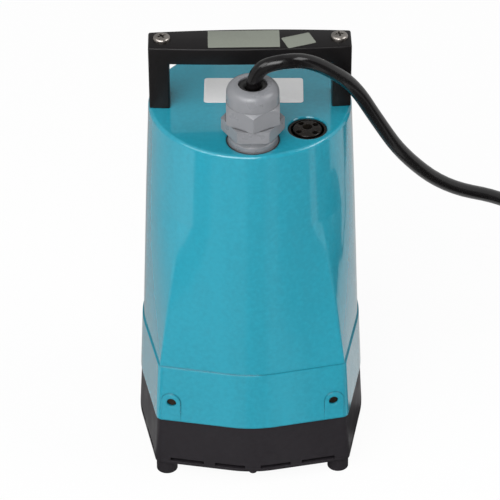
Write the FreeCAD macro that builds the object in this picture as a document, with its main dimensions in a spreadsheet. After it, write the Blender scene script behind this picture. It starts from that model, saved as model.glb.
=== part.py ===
"""Submersible sump pump: cast motor housing, moulded strainer base, carrying handle and mains cable.

Lengths are in millimetres. The pump's axis is upright, the feet stand on z = 0, and the cable leaves
on the -Y side. Every driving dimension stands once in SIZES, which fills the document's sheet.
"""
import FreeCAD, Part
import Sketcher
import math
import os

SIZES = {
    # heights of the visible stack, from the floor up
    "foot_height": 9.1,
    "plate_thickness": 2.0,
    "base_height": 29.5,
    "skirt_height": 37.4,
    "flare_height": 94.4,
    "crown_height": 52.0,
    # motor space, and how far the eight-sided skirt's sides and corners stand outside of it
    "cavity_radius": 54.4,
    "cavity_top_radius": 52.6,
    "skirt_wall": 4.4,
    "middle_land": 7.7,
    "corner_land": 13.0,
    # eight-sided plan
    "base_taper": 1.6,
    "lip_overhang": 0.5,
    "skirt_taper": 1.7,
    "skirt_step": 0.7,
    "corner_round": 4.5,
    "crease_round": 1.2,
    "middle_round": 62.0,
    # round upper housing
    "kink_radius": 58.95,
    "top_radius": 56.6,
    "rim_round": 2.0,
    "corner_turn": 43.0,
    "middle_turn": 14.0,
    "crease_turn": 1.2,
    # housing walls
    "ledge_height": 66.0,
    "ceiling": 5.4,
    "rib_count": 6,
    "rib_width": 8.0,
    # screws that hold the skirt to the base
    "side_screw_inset": 8.6,
    "side_screw_drop": 11.9,
    "side_screw_hole": 2.75,
    "side_screw_head": 2.45,
    "side_screw_shank": 1.5,
    "side_screw_length": 9.0,
    "side_screw_sink": 2.0,
    "side_tap_spare": 4.0,
    "screw_gap": 0.1,
    "pad_half_width": 5.7,
    "pad_raise": 0.6,
    # wet end
    "slot_height": 2.2,
    "slot_first": 4.6,
    "slot_break_start": 22.0,
    "slot_break_end": 28.6,
    "slot_last": 47.9,
    "shell_wall": 2.8,
    "spigot_wall": 4.6,
    "spigot_gap": 0.3,
    "deck_height": 35.5,
    "deck_thickness": 3.7,
    "cover_height": 17.0,
    "cover_thickness": 3.0,
    "cover_margin": 4.5,
    "cover_corner_round": 5.0,
    "cover_back_inset": 12.2,
    "eye_radius": 12.0,
    "volute_radius": 30.5,
    "volute_growth": 1.6,
    "volute_wall": 2.6,
    "post_inset": 14.2,
    "post_radius": 4.2,
    "plate_screw_shank": 1.6,
    "plate_screw_head": 3.2,
    "plate_screw_length": 22.0,
    "foot_radius": 6.15,
    "foot_inset": 5.0,
    "gate_radius": 2.3,
    "gate_inset": 3.4,
    "gate_drop": 1.2,
    # discharge
    "port_radius": 15.15,
    "port_depth": 20.0,
    "port_wall": 3.9,
    "port_top": 63.0,
    "port_gap": 1.2,
    "duct_half_width": 7.5,
    "duct_passage": 11.0,
    "port_floor": 15.0,
    # impeller
    "impeller_radius": 27.0,
    "impeller_base": 21.2,
    "vane_height": 9.5,
    "shroud_thickness": 2.4,
    "hub_radius": 8.0,
    "vane_count": 6,
    "vane_thickness": 2.2,
    "vane_bend": 24.0,
    "impeller_floor": 24.0,
    "nut_size": 8.0,
    # shaft and bearings
    "shaft_radius": 4.0,
    "shaft_middle_radius": 6.0,
    "shaft_thread": 2.5,
    "shaft_bottom": 16.6,
    "shaft_top": 193.2,
    "fit_gap": 0.03,
    "bearing_radius": 11.0,
    "bearing_inner": 5.9,
    "bearing_shield": 6.3,
    "bearing_width": 7.0,
    "bearing_plate_thickness": 6.0,
    "lower_bearing_rise": 3.5,
    "upper_bearing_seat": 186.5,
    "bearing_plate_screw_length": 13.0,
    # rubber ring between the housing's ledge and the bearing plate
    "ring_land": 2.0,
    "ring_wire": 0.95,
    "ring_groove_half": 1.2,
    "ring_groove_depth": 2.0,
    "screw_land": 3.3,
    # shaft seal
    "seal_seat_radius": 10.5,
    "seal_face_radius": 8.6,
    "seal_spring_radius": 7.2,
    "seal_wire": 0.8,
    "seal_collar_base": 40.6,
    # motor
    "stator_base": 105.0,
    "stator_height": 60.0,
    "stator_radius": 46.0,
    "bore_radius": 22.4,
    "slot_count": 18,
    "slot_inner": 25.0,
    "slot_outer": 35.5,
    "slot_half_width": 2.3,
    "rotor_radius": 22.0,
    "end_ring_height": 6.0,
    "winding_height": 15.0,
    "winding_inner": 25.5,
    "winding_outer": 41.0,
    # upper compartment
    "bracket_radius": 44.3,
    "bracket_height": 184.0,
    "bracket_thickness": 5.0,
    "bracket_screw_radius": 41.3,
    "bracket_screw_shank": 1.5,
    "bracket_screw_head": 2.8,
    "rib_reach": 38.0,
    "rib_stop": 44.6,
    "rib_base": 78.0,
    "boss_drop": 9.0,
    "capacitor_length": 38.0,
    "capacitor_depth": 16.0,
    "capacitor_height": 20.0,
    "capacitor_back": 22.5,
    # pressure switch in the lid
    "switch_across": 31.0,
    "switch_forward": 28.6,
    "switch_bore": 10.8,
    "switch_chamfer": 0.5,
    "switch_recess": 1.2,
    "switch_ring_radius": 10.5,
    "switch_ring_height": 5.0,
    "switch_vent": 2.4,
    "spanner_radius": 6.1,
    "spanner_hole": 1.4,
    "spanner_turn": 34.0,
    "diaphragm_thickness": 1.2,
    "plunger_radius": 4.5,
    "plunger_bore": 8.0,
    "plunger_travel": 2.0,
    "plunger_head": 7.5,
    "plunger_stem": 3.0,
    "switch_wire": 0.45,
    "guide_gap": 0.06,
    "switch_body_height": 11.5,
    # cable gland
    "gland_forward": 39.4,
    "gland_across": 0.9,
    "gland_thread": 12.5,
    "washer_radius": 13.9,
    "washer_thickness": 0.9,
    "spot_face_radius": 14.7,
    "spot_face_depth": 0.8,
    "gland_collar_radius": 13.4,
    "gland_collar_rim": 3.4,
    "gland_neck_radius": 12.7,
    "gland_collar_height": 7.0,
    "gland_flats": 30.0,
    "gland_hex_height": 7.6,
    "nut_flats": 29.0,
    "nut_hex_height": 10.8,
    "nut_height": 21.2,
    "nut_opening": 7.9,
    "dome_round": 4.8,
    "seal_outer": 8.9,
    # handle
    "handle_half_length": 55.8,
    "handle_height": 38.2,
    "handle_thickness": 11.0,
    "handle_leg": 10.4,
    "handle_end_depth": 15.8,
    "handle_middle_depth": 20.0,
    "handle_back": 1.0,
    "handle_round": 1.4,
    "handle_screw_across": 49.2,
    "handle_screw_shank": 2.45,
    "handle_screw_head": 4.75,
    "handle_screw_head_height": 3.1,
    "handle_screw_recess": 0.8,
    "handle_screw_bite": 11.0,
    # cable
    "cable_radius": 4.1,
    "coil_radius": 66.0,
    "coil_pitch": 10.2,
    "coil_climb": 11.0,
    "plug_radius": 19.0,
    "plug_height": 25.0,
    "boot_length": 36.0,
    "pin_radius": 2.4,
    "pin_length": 19.0,
    "pin_spacing": 19.0,
}

DOC = FreeCAD.newDocument("sump_pump")
SHEET = DOC.addObject("Spreadsheet::Sheet", "Sizes")
for row, (alias, amount) in enumerate(SIZES.items(), start=1):
    SHEET.set("A%d" % row, alias.replace("_", " "))
    SHEET.set("B%d" % row, str(amount))
    SHEET.setAlias("B%d" % row, alias)
DOC.recompute()


NOTES = {}


class Size:
    """A length, angle or count that knows both its value and the formula that gives it."""

    def __init__(self, value, text):
        self.value = float(value)
        self.text = text

    @staticmethod
    def of(other):
        return other if isinstance(other, Size) else Size(other, repr(float(other)))

    def _with(self, other, sign, value):
        return Size(value, "(%s %s %s)" % (self.text, sign, other.text))

    def __add__(self, other):
        other = Size.of(other)
        return self._with(other, "+", self.value + other.value)

    def __sub__(self, other):
        other = Size.of(other)
        return self._with(other, "-", self.value - other.value)

    def __mul__(self, other):
        other = Size.of(other)
        return self._with(other, "*", self.value * other.value)

    def __truediv__(self, other):
        other = Size.of(other)
        return self._with(other, "/", self.value / other.value)

    def __radd__(self, other):
        return Size.of(other) + self

    def __rsub__(self, other):
        return Size.of(other) - self

    def __rmul__(self, other):
        return Size.of(other) * self

    def __neg__(self):
        return Size.of(-1) * self


def sine(angle):
    angle = Size.of(angle)
    return Size(math.sin(math.radians(angle.value)), "sin(%s * 1 deg)" % angle.text)


def cosine(angle):
    angle = Size.of(angle)
    return Size(math.cos(math.radians(angle.value)), "cos(%s * 1 deg)" % angle.text)


def root(amount):
    return Size(math.sqrt(amount.value), "sqrt(%s)" % amount.text)


def note(alias, size):
    """Write a worked-out value into the sheet, so that later formulas can name it."""
    line = NOTES.setdefault("line", len(SIZES)) + 1
    NOTES["line"] = line
    SHEET.set("A%d" % line, alias.replace("_", " "))
    SHEET.set("B%d" % line, "=" + size.text.replace("Sizes.", ""))
    SHEET.setAlias("B%d" % line, alias)
    return Size(size.value, "Sizes." + alias)


class Dimensions:
    """Reads any alias of the sheet as a Size, such as d.foot_height."""

    def __getattr__(self, alias):
        return Size(SHEET.get(alias), "Sizes." + alias)


d = Dimensions()
ZERO = Size.of(0)

# heights that several pieces share
Z_PLATE = note("z_plate", d.foot_height)
Z_SHELL = note("z_shell", Z_PLATE + d.plate_thickness)
Z_LIP = note("z_lip", Z_SHELL + d.base_height)
Z_SKIRT = note("z_skirt", Z_LIP + d.skirt_height)
Z_KINK = note("z_kink", Z_SKIRT + d.flare_height)
Z_TOP = note("z_top", Z_KINK + d.crown_height)
Z_CEILING = note("z_ceiling", Z_TOP - d.ceiling)
Z_COVER_TOP = note("z_cover_top", d.cover_height + d.cover_thickness)
Z_DECK_TOP = note("z_deck_top", d.deck_height + d.deck_thickness)
PORT_OUTER = note("port_outer", d.port_radius + d.port_wall)
# the seal ring lies outside the motor space, the plate's screws outside the ring, the skirt outside both
SEAL_RING = note("seal_ring", d.cavity_radius + d.ring_land)
SCREW_ACROSS = note("screw_across", (SEAL_RING + d.screw_land) * cosine(45))
SKIRT_MIDDLE = note("skirt_middle", d.cavity_radius + d.middle_land + d.skirt_wall)
SKIRT_CORNER = note("skirt_corner", SCREW_ACROSS + d.corner_land)
BASE_MIDDLE = note("base_middle", SKIRT_MIDDLE + d.base_taper - d.lip_overhang)
BASE_CORNER = note("base_corner", SKIRT_CORNER + d.base_taper - d.lip_overhang)
SIDE_SCREW_ACROSS = note("side_screw_across", SKIRT_CORNER - d.side_screw_inset)
Z_SIDE_SCREW = note("z_side_screw", d.ledge_height - d.side_screw_drop)
FOOT_ACROSS = note("foot_across", SKIRT_CORNER - d.foot_inset)
POST_ACROSS = note("post_across", SKIRT_CORNER - d.post_inset)
COVER_HALF = note("cover_half", POST_ACROSS + d.cover_margin)
COVER_BACK = note("cover_back", BASE_MIDDLE - d.cover_back_inset)
Z_BEARING_PLATE = note("z_bearing_plate", d.ledge_height - d.bearing_plate_thickness)
Z_LOWER_BEARING = note("z_lower_bearing", d.ledge_height + d.lower_bearing_rise)
PORT_BACK = note("port_back", SKIRT_MIDDLE + d.port_gap + PORT_OUTER)
PORT_ACROSS = note("port_across", d.volute_radius + d.volute_growth * 4 - d.duct_half_width)
Z_BRACKET_TOP = note("z_bracket_top", d.bracket_height + d.bracket_thickness)
Z_BOSS = note("z_boss", Z_CEILING - d.boss_drop)
Z_SWITCH_SEAT = note(
    "z_switch_seat", Z_TOP - d.switch_recess - d.switch_ring_height - d.diaphragm_thickness)
# the pump's axis stands off the origin, which is the middle of the whole outline on the floor
AXIS_Y = note("axis_y", (BASE_MIDDLE - PORT_BACK - PORT_OUTER) / 2)
# share of the skirt's side length that a facet falls back in, and that it runs across
FACET_SIDE = note("facet_side", root(
    SKIRT_CORNER * SKIRT_CORNER + (SKIRT_MIDDLE - SKIRT_CORNER) * (SKIRT_MIDDLE - SKIRT_CORNER)))
FACET_FALL = note("facet_fall", (SKIRT_MIDDLE - SKIRT_CORNER) / FACET_SIDE)
FACET_RUN = note("facet_run", SKIRT_CORNER / FACET_SIDE)

PIECES = []


def place(piece, name, across=None, forward=None):
    """Give a finished piece its name and its place in the whole pump."""
    piece.Label = name
    if across is not None:
        piece.setExpression("Placement.Base.x", across.text)
    spot = AXIS_Y if forward is None else AXIS_Y - forward
    piece.setExpression("Placement.Base.y", spot.text)
    PIECES.append(piece)
    return piece


def new_body(name):
    return DOC.addObject("PartDesign::Body", name)


def origin_plane(body, role):
    return next(item for item in body.Origin.OriginFeatures if item.Role == role)


def sketch_on(body, name, role="XY_Plane", lift=None):
    """A sketch on one of the body's own planes, lifted along the plane's normal."""
    sketch = body.newObject("Sketcher::SketchObject", name)
    sketch.AttachmentSupport = [(origin_plane(body, role), "")]
    sketch.MapMode = "FlatFace"
    if lift is not None:
        lift = Size.of(lift)
        sketch.AttachmentOffset = FreeCAD.Placement(FreeCAD.Vector(0, 0, lift.value), FreeCAD.Rotation())
        sketch.setExpression("AttachmentOffset.Base.z", lift.text)
    return sketch


def hold_point(sketch, geometry, end, x, y):
    """Tie one end of a line or arc to its place."""
    for kind, amount in (("DistanceX", x), ("DistanceY", y)):
        index = sketch.addConstraint(Sketcher.Constraint(kind, -1, 1, geometry, end, amount.value))
        sketch.setExpression("Constraints[%d]" % index, amount.text)


def hold_radius(sketch, geometry, radius):
    index = sketch.addConstraint(Sketcher.Constraint("Radius", geometry, radius.value))
    sketch.setExpression("Constraints[%d]" % index, radius.text)


def arc_between(start, end, bend):
    """The short arc from start to end; a positive bend turns to the left."""
    radius = abs(bend)
    chord = end - start
    middle = (start + end) * 0.5
    side = FreeCAD.Vector(-chord.y, chord.x, 0).normalize()
    rise = math.sqrt(max(radius ** 2 - (chord.Length / 2) ** 2, 0))
    centre = middle + side * (rise if bend > 0 else -rise)
    angles = [math.atan2(p.y - centre.y, p.x - centre.x) for p in (start, end)]
    if bend < 0:
        angles.reverse()
    if angles[1] < angles[0]:
        angles[1] += 2 * math.pi
    circle = Part.Circle(centre, FreeCAD.Vector(0, 0, 1), radius)
    return Part.ArcOfCircle(circle, angles[0], angles[1])


def outline(sketch, points):
    """A closed outline: each point is (x, y), or (x, y, bend) where an arc runs to the next point."""
    count = len(points)
    corners = [(Size.of(p[0]), Size.of(p[1])) for p in points]
    bends = [Size.of(p[2]) if len(p) > 2 else None for p in points]
    spots = [FreeCAD.Vector(x.value, y.value, 0) for x, y in corners]
    ends = []
    for i in range(count):
        start, end = spots[i], spots[(i + 1) % count]
        if bends[i] is None:
            ends.append((sketch.addGeometry(Part.LineSegment(start, end)), 1, 2))
        else:
            arc = sketch.addGeometry(arc_between(start, end, bends[i].value))
            ends.append((arc, 1, 2) if bends[i].value > 0 else (arc, 2, 1))
    for i in range(count):
        here, following = ends[i], ends[(i + 1) % count]
        sketch.addConstraint(Sketcher.Constraint("Coincident", here[0], here[2], following[0], following[1]))
        hold_point(sketch, here[0], here[1], *corners[i])
        if bends[i] is not None:
            radius = bends[i] if bends[i].value > 0 else -bends[i]
            hold_radius(sketch, here[0], radius)
    return sketch


def circle(sketch, x, y, radius):
    x, y, radius = Size.of(x), Size.of(y), Size.of(radius)
    centre = FreeCAD.Vector(x.value, y.value, 0)
    ring = sketch.addGeometry(Part.Circle(centre, FreeCAD.Vector(0, 0, 1), radius.value))
    hold_point(sketch, ring, 3, x, y)
    hold_radius(sketch, ring, radius)
    return sketch


def pad(body, sketch, length, name):
    feature = body.newObject("PartDesign::Pad", name)
    feature.Profile = sketch
    feature.Length = Size.of(length).value
    feature.setExpression("Length", Size.of(length).text)
    return feature


def pocket(body, sketch, depth, name, upward=True):
    """A cut along the sketch's normal, or against it."""
    feature = body.newObject("PartDesign::Pocket", name)
    feature.Profile = sketch
    feature.Length = Size.of(depth).value
    feature.setExpression("Length", Size.of(depth).text)
    feature.Reversed = upward
    return feature


def revolve(body, name, points, cut=False):
    """Turn an outline of (radius, height) points about the upright axis."""
    sketch = outline(sketch_on(body, name + "_profile", "XZ_Plane"), points)
    kind = "PartDesign::Groove" if cut else "PartDesign::Revolution"
    feature = body.newObject(kind, name)
    feature.Profile = sketch
    feature.ReferenceAxis = (sketch, ["V_Axis"])
    feature.Angle = 360
    return feature


def loft(body, low, high, name):
    feature = body.newObject("PartDesign::AdditiveLoft", name)
    feature.Profile = low
    feature.Sections = [(high, [""])]
    feature.Ruled = True
    return feature


def column(body, name, radius, length, at, cut=False):
    """A round column or hole standing at a place."""
    feature = body.newObject("PartDesign::%sCylinder" % ("Subtractive" if cut else "Additive"), name)
    feature.AttachmentSupport = [(origin_plane(body, "XY_Plane"), "")]
    feature.MapMode = "FlatFace"
    at = [Size.of(value) for value in at]
    where = FreeCAD.Vector(*[value.value for value in at])
    feature.AttachmentOffset = FreeCAD.Placement(where, FreeCAD.Rotation())
    for axis, value in zip("xyz", at):
        feature.setExpression("AttachmentOffset.Base." + axis, value.text)
    feature.Radius = Size.of(radius).value
    feature.setExpression("Radius", Size.of(radius).text)
    feature.Height = Size.of(length).value
    feature.setExpression("Height", Size.of(length).text)
    return feature


def holes(body, name, radius, depth, spots, lift, cut=True):
    """Equal round holes, or posts, drawn in one sketch and run upward from a height."""
    sketch = sketch_on(body, name + "_circles", lift=lift)
    for x, y in spots:
        circle(sketch, x, y, radius)
    if cut:
        return pocket(body, sketch, depth, name)
    return pad(body, sketch, depth, name)


def corners(across):
    """The four places that lie the same distance out along both axes."""
    return [(across * side_x, across * side_y) for side_x in (-1, 1) for side_y in (-1, 1)]


def solid(kind, name, at=(0, 0, 0), turn=None, **sizes):
    """A plain block, rod, cone, ball or ring whose sizes and place follow the sheet."""
    item = DOC.addObject("Part::" + kind, name)
    for key, amount in sizes.items():
        item.setExpression(key, Size.of(amount).text)
    if turn is not None:
        item.Placement = FreeCAD.Placement(FreeCAD.Vector(), turn)
    for axis, amount in zip("xyz", at):
        item.setExpression("Placement.Base." + axis, Size.of(amount).text)
    return item


def joined(name, parts, kind="MultiFuse"):
    item = DOC.addObject("Part::" + kind, name)
    if kind == "Compound":
        item.Links = parts
    else:
        item.Shapes = parts
    return item


def cut_from(name, base, tool):
    item = DOC.addObject("Part::Cut", name)
    item.Base = base
    item.Tool = tool
    return item


def turned(name, points):
    """A body turned about its own upright axis."""
    body = new_body(name)
    revolve(body, name + "_turning", points)
    return body


def ring(name, inner, outer, low, high):
    return turned(name, [(inner, low), (outer, low), (outer, high), (inner, high)])


def prism(name, points, low, height, bore=None):
    """An upright body with a straight-sided plan, with a round hole where a bore is given."""
    body = new_body(name)
    sketch = sketch_on(body, name + "_plan", lift=low)
    outline(sketch, points)
    if bore is not None:
        circle(sketch, 0, 0, bore)
    pad(body, sketch, height, name + "_pad")
    return body


def polar(body, features, count, name):
    pattern = body.newObject("PartDesign::PolarPattern", name)
    pattern.Originals = features
    pattern.Axis = (origin_axis(body), [""])
    pattern.Angle = 360
    pattern.Occurrences = int(Size.of(count).value)
    if isinstance(count, Size):
        pattern.setExpression("Occurrences", count.text)
    body.Tip = pattern
    return pattern


def origin_axis(body, role="Z_Axis"):
    return next(item for item in body.Origin.OriginFeatures if item.Role == role)


def edges_where(feature, test):
    """Names of the edges of a feature's shape for which the test holds."""
    return ["Edge%d" % (i + 1) for i, edge in enumerate(feature.Shape.Edges) if test(edge)]


def fillet(body, feature, radius, test, name):
    DOC.recompute()
    rounding = body.newObject("PartDesign::Fillet", name)
    rounding.Base = (feature, edges_where(feature, test))
    rounding.Radius = Size.of(radius).value
    rounding.setExpression("Radius", Size.of(radius).text)
    return rounding


def level(edge, height):
    """True where an edge lies wholly at one height."""
    box = edge.BoundBox
    return abs(box.ZMin - height.value) < 1e-3 and abs(box.ZMax - height.value) < 1e-3


def octagon(tag, middle, corner, corner_radius, middle_radius):
    """The rounded eight-sided plan, anticlockwise, as sixteen lines and arcs."""
    slope = note(tag + "_slope", (middle - corner) / corner)
    side = note(tag + "_side", root(corner * corner + (middle - corner) * (middle - corner)))
    run, rise = corner / side, (middle - corner) / side
    middle_reach = middle_radius * slope
    corner_reach = corner_radius * (1 - slope) / (1 + slope)
    far = note(tag + "_middle_far", middle - middle_reach * rise)
    near = note(tag + "_middle_near", middle_reach * run)
    out = note(tag + "_corner_far", corner + corner_reach * rise)
    back = note(tag + "_corner_near", corner - corner_reach * run)
    quarter = [(far, -near, middle_radius), (far, near),
               (out, back, corner_radius), (back, out)]
    points = []
    for turn in range(4):
        for point in quarter:
            x, y = point[:2]
            for _ in range(turn):
                x, y = -y, x
            points.append((x, y, *point[2:]))
    return points


def ring_of_arcs(radius, corner_turn, middle_half, crease_half):
    """A full circle cut into the same sixteen stretches as the eight-sided plan."""
    centres = (0, 90 - corner_turn, 90, 90 + corner_turn, 180, 270 - corner_turn, 270, 270 + corner_turn)
    points = []
    for i, centre in enumerate(centres):
        half = middle_half if i % 2 == 0 else crease_half
        for angle in (Size.of(centre) - half, Size.of(centre) + half):
            points.append((radius * cosine(angle), radius * sine(angle), radius))
    return points


def hexagon(flats, turn=0):
    """Corner points of a hexagon given across its flats."""
    reach = Size.of(flats) / 2 / cosine(30)
    return [(reach * cosine(60 * i + turn), reach * sine(60 * i + turn)) for i in range(6)]


def housing_form():
    """The outside of the casting: round crown, flare from round to eight-sided, and straight skirt."""
    body = new_body("housing_form")
    skirt_low = sketch_on(body, "skirt_low", lift=Z_LIP)
    outline(skirt_low, octagon("skirt_low", SKIRT_MIDDLE, SKIRT_CORNER, d.corner_round, d.middle_round))
    skirt_high = sketch_on(body, "skirt_high", lift=Z_SKIRT)
    middle_high, corner_high = SKIRT_MIDDLE - d.skirt_taper, SKIRT_CORNER - d.skirt_taper
    outline(skirt_high, octagon("skirt_high", middle_high, corner_high, d.corner_round, d.middle_round))
    loft(body, skirt_low, skirt_high, "skirt")
    flare_low = sketch_on(body, "flare_low", lift=Z_SKIRT)
    step = d.skirt_step
    outline(flare_low, octagon("flare_low", middle_high - step, corner_high - step,
                               d.crease_round, d.middle_round))
    flare_high = sketch_on(body, "flare_high", lift=Z_KINK)
    outline(flare_high, ring_of_arcs(d.kink_radius, d.corner_turn, d.middle_turn, d.crease_turn))
    loft(body, flare_low, flare_high, "flare")
    crown = revolve(body, "crown", [
        (0, Z_KINK), (d.kink_radius, Z_KINK), (d.top_radius, Z_TOP), (0, Z_TOP)])
    fillet(body, crown, d.rim_round, lambda edge: level(edge, Z_TOP), "rim")
    for side_x in (-1, 1):
        for side_y in (-1, 1):
            screw_pad(body, side_x, side_y)
    return body


def facet_turn():
    """How far each facet of the skirt turns away from straight across, in degrees."""
    return math.degrees(math.atan2((SKIRT_MIDDLE - SKIRT_CORNER).value, SKIRT_CORNER.value))


def facet_depth(across, height):
    """How far forward the skirt's front facet stands at a place across and a height."""
    shrink = d.skirt_taper * (height - Z_LIP) / d.skirt_height
    return SKIRT_MIDDLE - shrink - across * FACET_FALL / FACET_RUN


def screw_pad(body, side_x, side_y):
    """The shallow arched pad round one side screw, from the arch down to the skirt's lower edge."""
    tag = "_%d_%d" % (side_x, side_y)
    sink = 3
    reach = facet_depth(SIDE_SCREW_ACROSS, Z_SIDE_SCREW) + d.pad_raise - sink
    turn = -facet_turn() * side_x * side_y
    if side_y > 0:
        turn += 180
    arch = body.newObject("Sketcher::SketchObject", "pad_outline" + tag)
    arch.AttachmentSupport = [(origin_plane(body, "XZ_Plane"), "")]
    arch.MapMode = "FlatFace"
    # on this plane the sketch's own y axis counts up and its normal counts forward
    arch.AttachmentOffset = FreeCAD.Placement(
        FreeCAD.Vector(), FreeCAD.Rotation(FreeCAD.Vector(0, 1, 0), turn))
    spot = (SIDE_SCREW_ACROSS * side_x, Z_SIDE_SCREW, -reach * side_y)
    for axis, amount in zip("xyz", spot):
        arch.setExpression("AttachmentOffset.Base." + axis, amount.text)
    half = d.pad_half_width
    foot = Z_LIP - Z_SIDE_SCREW
    outline(arch, [(-half, foot), (half, foot), (half, ZERO, half), (ZERO, half, half), (-half, ZERO)])
    pad(body, arch, sink, "pad" + tag)


def side_turn(side_x, side_y):
    """The rotation that lays an upright rod along a side screw, pointing inward."""
    yaw = facet_turn() * side_x
    return FreeCAD.Rotation(yaw if side_y < 0 else 180 - yaw, 0, -90)


def side_spot(side_x, side_y, sink):
    """A place on a side screw's line, a given depth below the skirt's facet."""
    depth = facet_depth(SIDE_SCREW_ACROSS, Z_SIDE_SCREW) - FACET_RUN * sink
    across = SIDE_SCREW_ACROSS - FACET_FALL * sink
    return across * side_x, depth * side_y, Z_SIDE_SCREW


def side_rods(name, radius, sink, length):
    """Four rods along the side screws' lines, starting a given depth below the facets."""
    rods = []
    for side_x in (-1, 1):
        for side_y in (-1, 1):
            rods.append(solid("Cylinder", name, side_spot(side_x, side_y, sink),
                              side_turn(side_x, side_y), Radius=radius, Height=length))
    return rods


def housing_core():
    """The hollow of the casting, with every boss and rib left out of it and every hole joined on."""
    body = new_body("housing_core")
    revolve(body, "motor_space", [
        (0, d.ledge_height - 1), (d.cavity_radius, d.ledge_height - 1), (d.cavity_radius, d.ledge_height),
        (d.cavity_top_radius, Z_CEILING - 3), (d.cavity_top_radius - 3, Z_CEILING), (0, Z_CEILING)])
    outer = d.kink_radius
    rib = outline(sketch_on(body, "rib_profile", "XZ_Plane"), [
        (d.stator_radius + d.fit_gap, d.rib_base), (outer, d.rib_base), (outer, Z_BRACKET_TOP + 9),
        (d.rib_reach, Z_BRACKET_TOP + 6.5), (d.rib_reach, Z_BRACKET_TOP), (d.rib_stop, Z_BRACKET_TOP),
        (d.rib_stop, d.stator_base + d.stator_height),
        (d.stator_radius + d.fit_gap, d.stator_base + d.stator_height)])
    rib_cut = pocket(body, rib, d.rib_width, "rib", upward=False)
    rib_cut.Midplane = True
    polar(body, [rib_cut], d.rib_count, "ribs")
    gland_at = (d.gland_across, -d.gland_forward)
    switch_at = (d.switch_across, -d.switch_forward)
    bosses = sketch_on(body, "boss_circles", lift=Z_BOSS)
    circle(bosses, *gland_at, d.gland_thread + 4)
    circle(bosses, *switch_at, d.switch_bore + 3)
    for side in (-1, 1):
        circle(bosses, d.handle_screw_across * side, d.handle_back, d.handle_screw_shank + 4)
    pocket(body, bosses, d.boss_drop + 1, "bosses")
    skirt = sketch_on(body, "skirt_hollow", lift=Z_LIP - 1)
    wall = d.skirt_wall
    outline(skirt, octagon("hollow", SKIRT_MIDDLE - wall, SKIRT_CORNER - wall,
                           d.corner_round, d.middle_round))
    pad(body, skirt, d.ledge_height - Z_LIP + 1, "skirt_space")
    return body


def housing_holes():
    """Every hole drilled through or into the casting, as rods."""
    gland_at = (d.gland_across, -d.gland_forward)
    switch_at = (d.switch_across, -d.switch_forward)
    through = d.ceiling + d.boss_drop + 2
    chamfer = d.switch_chamfer
    rods = [
        solid("Cylinder", "gland_hole", (*gland_at, Z_BOSS - 1), Radius=d.gland_thread, Height=through),
        solid("Cylinder", "spot_face", (*gland_at, Z_TOP - d.spot_face_depth), Radius=d.spot_face_radius,
              Height=through),
        solid("Cylinder", "plunger_hole", (*switch_at, Z_BOSS - 1), Radius=d.plunger_bore, Height=through),
        solid("Cylinder", "switch_hole", (*switch_at, Z_SWITCH_SEAT), Radius=d.switch_bore, Height=through),
        solid("Cone", "switch_mouth", (*switch_at, Z_TOP - chamfer), Radius1=d.switch_bore,
              Radius2=d.switch_bore + chamfer * 2, Height=chamfer * 2)]
    for side in (-1, 1):
        rods.append(solid("Cylinder", "handle_tap", (
            d.handle_screw_across * side, d.handle_back, Z_TOP - d.handle_screw_bite - 0.5),
            Radius=d.handle_screw_shank + d.screw_gap, Height=d.handle_screw_bite + 2))
    for x, y in corners(SCREW_ACROSS):
        rods.append(solid("Cylinder", "plate_tap", (x, y, d.ledge_height - 1),
                          Radius=d.plate_screw_shank + d.screw_gap, Height=10))
    for turn in (60, 180, 300):
        radius = d.bracket_screw_radius
        rods.append(solid("Cylinder", "bracket_tap", (
            radius * cosine(turn), radius * sine(turn), Z_BRACKET_TOP - 1),
            Radius=d.bracket_screw_shank + d.screw_gap, Height=6.8))
    rods += side_rods("side_hole", d.side_screw_hole, -3, 3 + d.side_screw_sink)
    rods += side_rods("side_shank_hole", d.side_screw_shank + d.screw_gap, 0, 6)
    return joined("housing_holes", rods)


def motor_housing():
    hollow = cut_from("hollow_housing", housing_form(), housing_core())
    place(cut_from("motor_housing", hollow, housing_holes()), "motor_housing")


def scroll(offset, back):
    """Plan of the pumping chamber and its straight outlet, moved outward by an offset."""
    radii = [note("scroll_%d_%d" % (i, round(offset.value * 10)), d.volute_radius + d.volute_growth * i + offset)
             for i in range(5)]
    inner = note("scroll_in_%d" % round(offset.value * 10), PORT_ACROSS - d.duct_half_width - offset)
    tongue = note("scroll_tongue_%d" % round(offset.value * 10), root(radii[0] * radii[0] - inner * inner))
    bends = [(radii[i] + radii[i + 1]) / 2 for i in range(4)]
    return [(radii[4], ZERO), (radii[4], back), (inner, back), (inner, tongue, bends[0]),
            (ZERO, radii[1], bends[1]), (-radii[2], ZERO, bends[2]), (ZERO, -radii[3], bends[3])]


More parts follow.
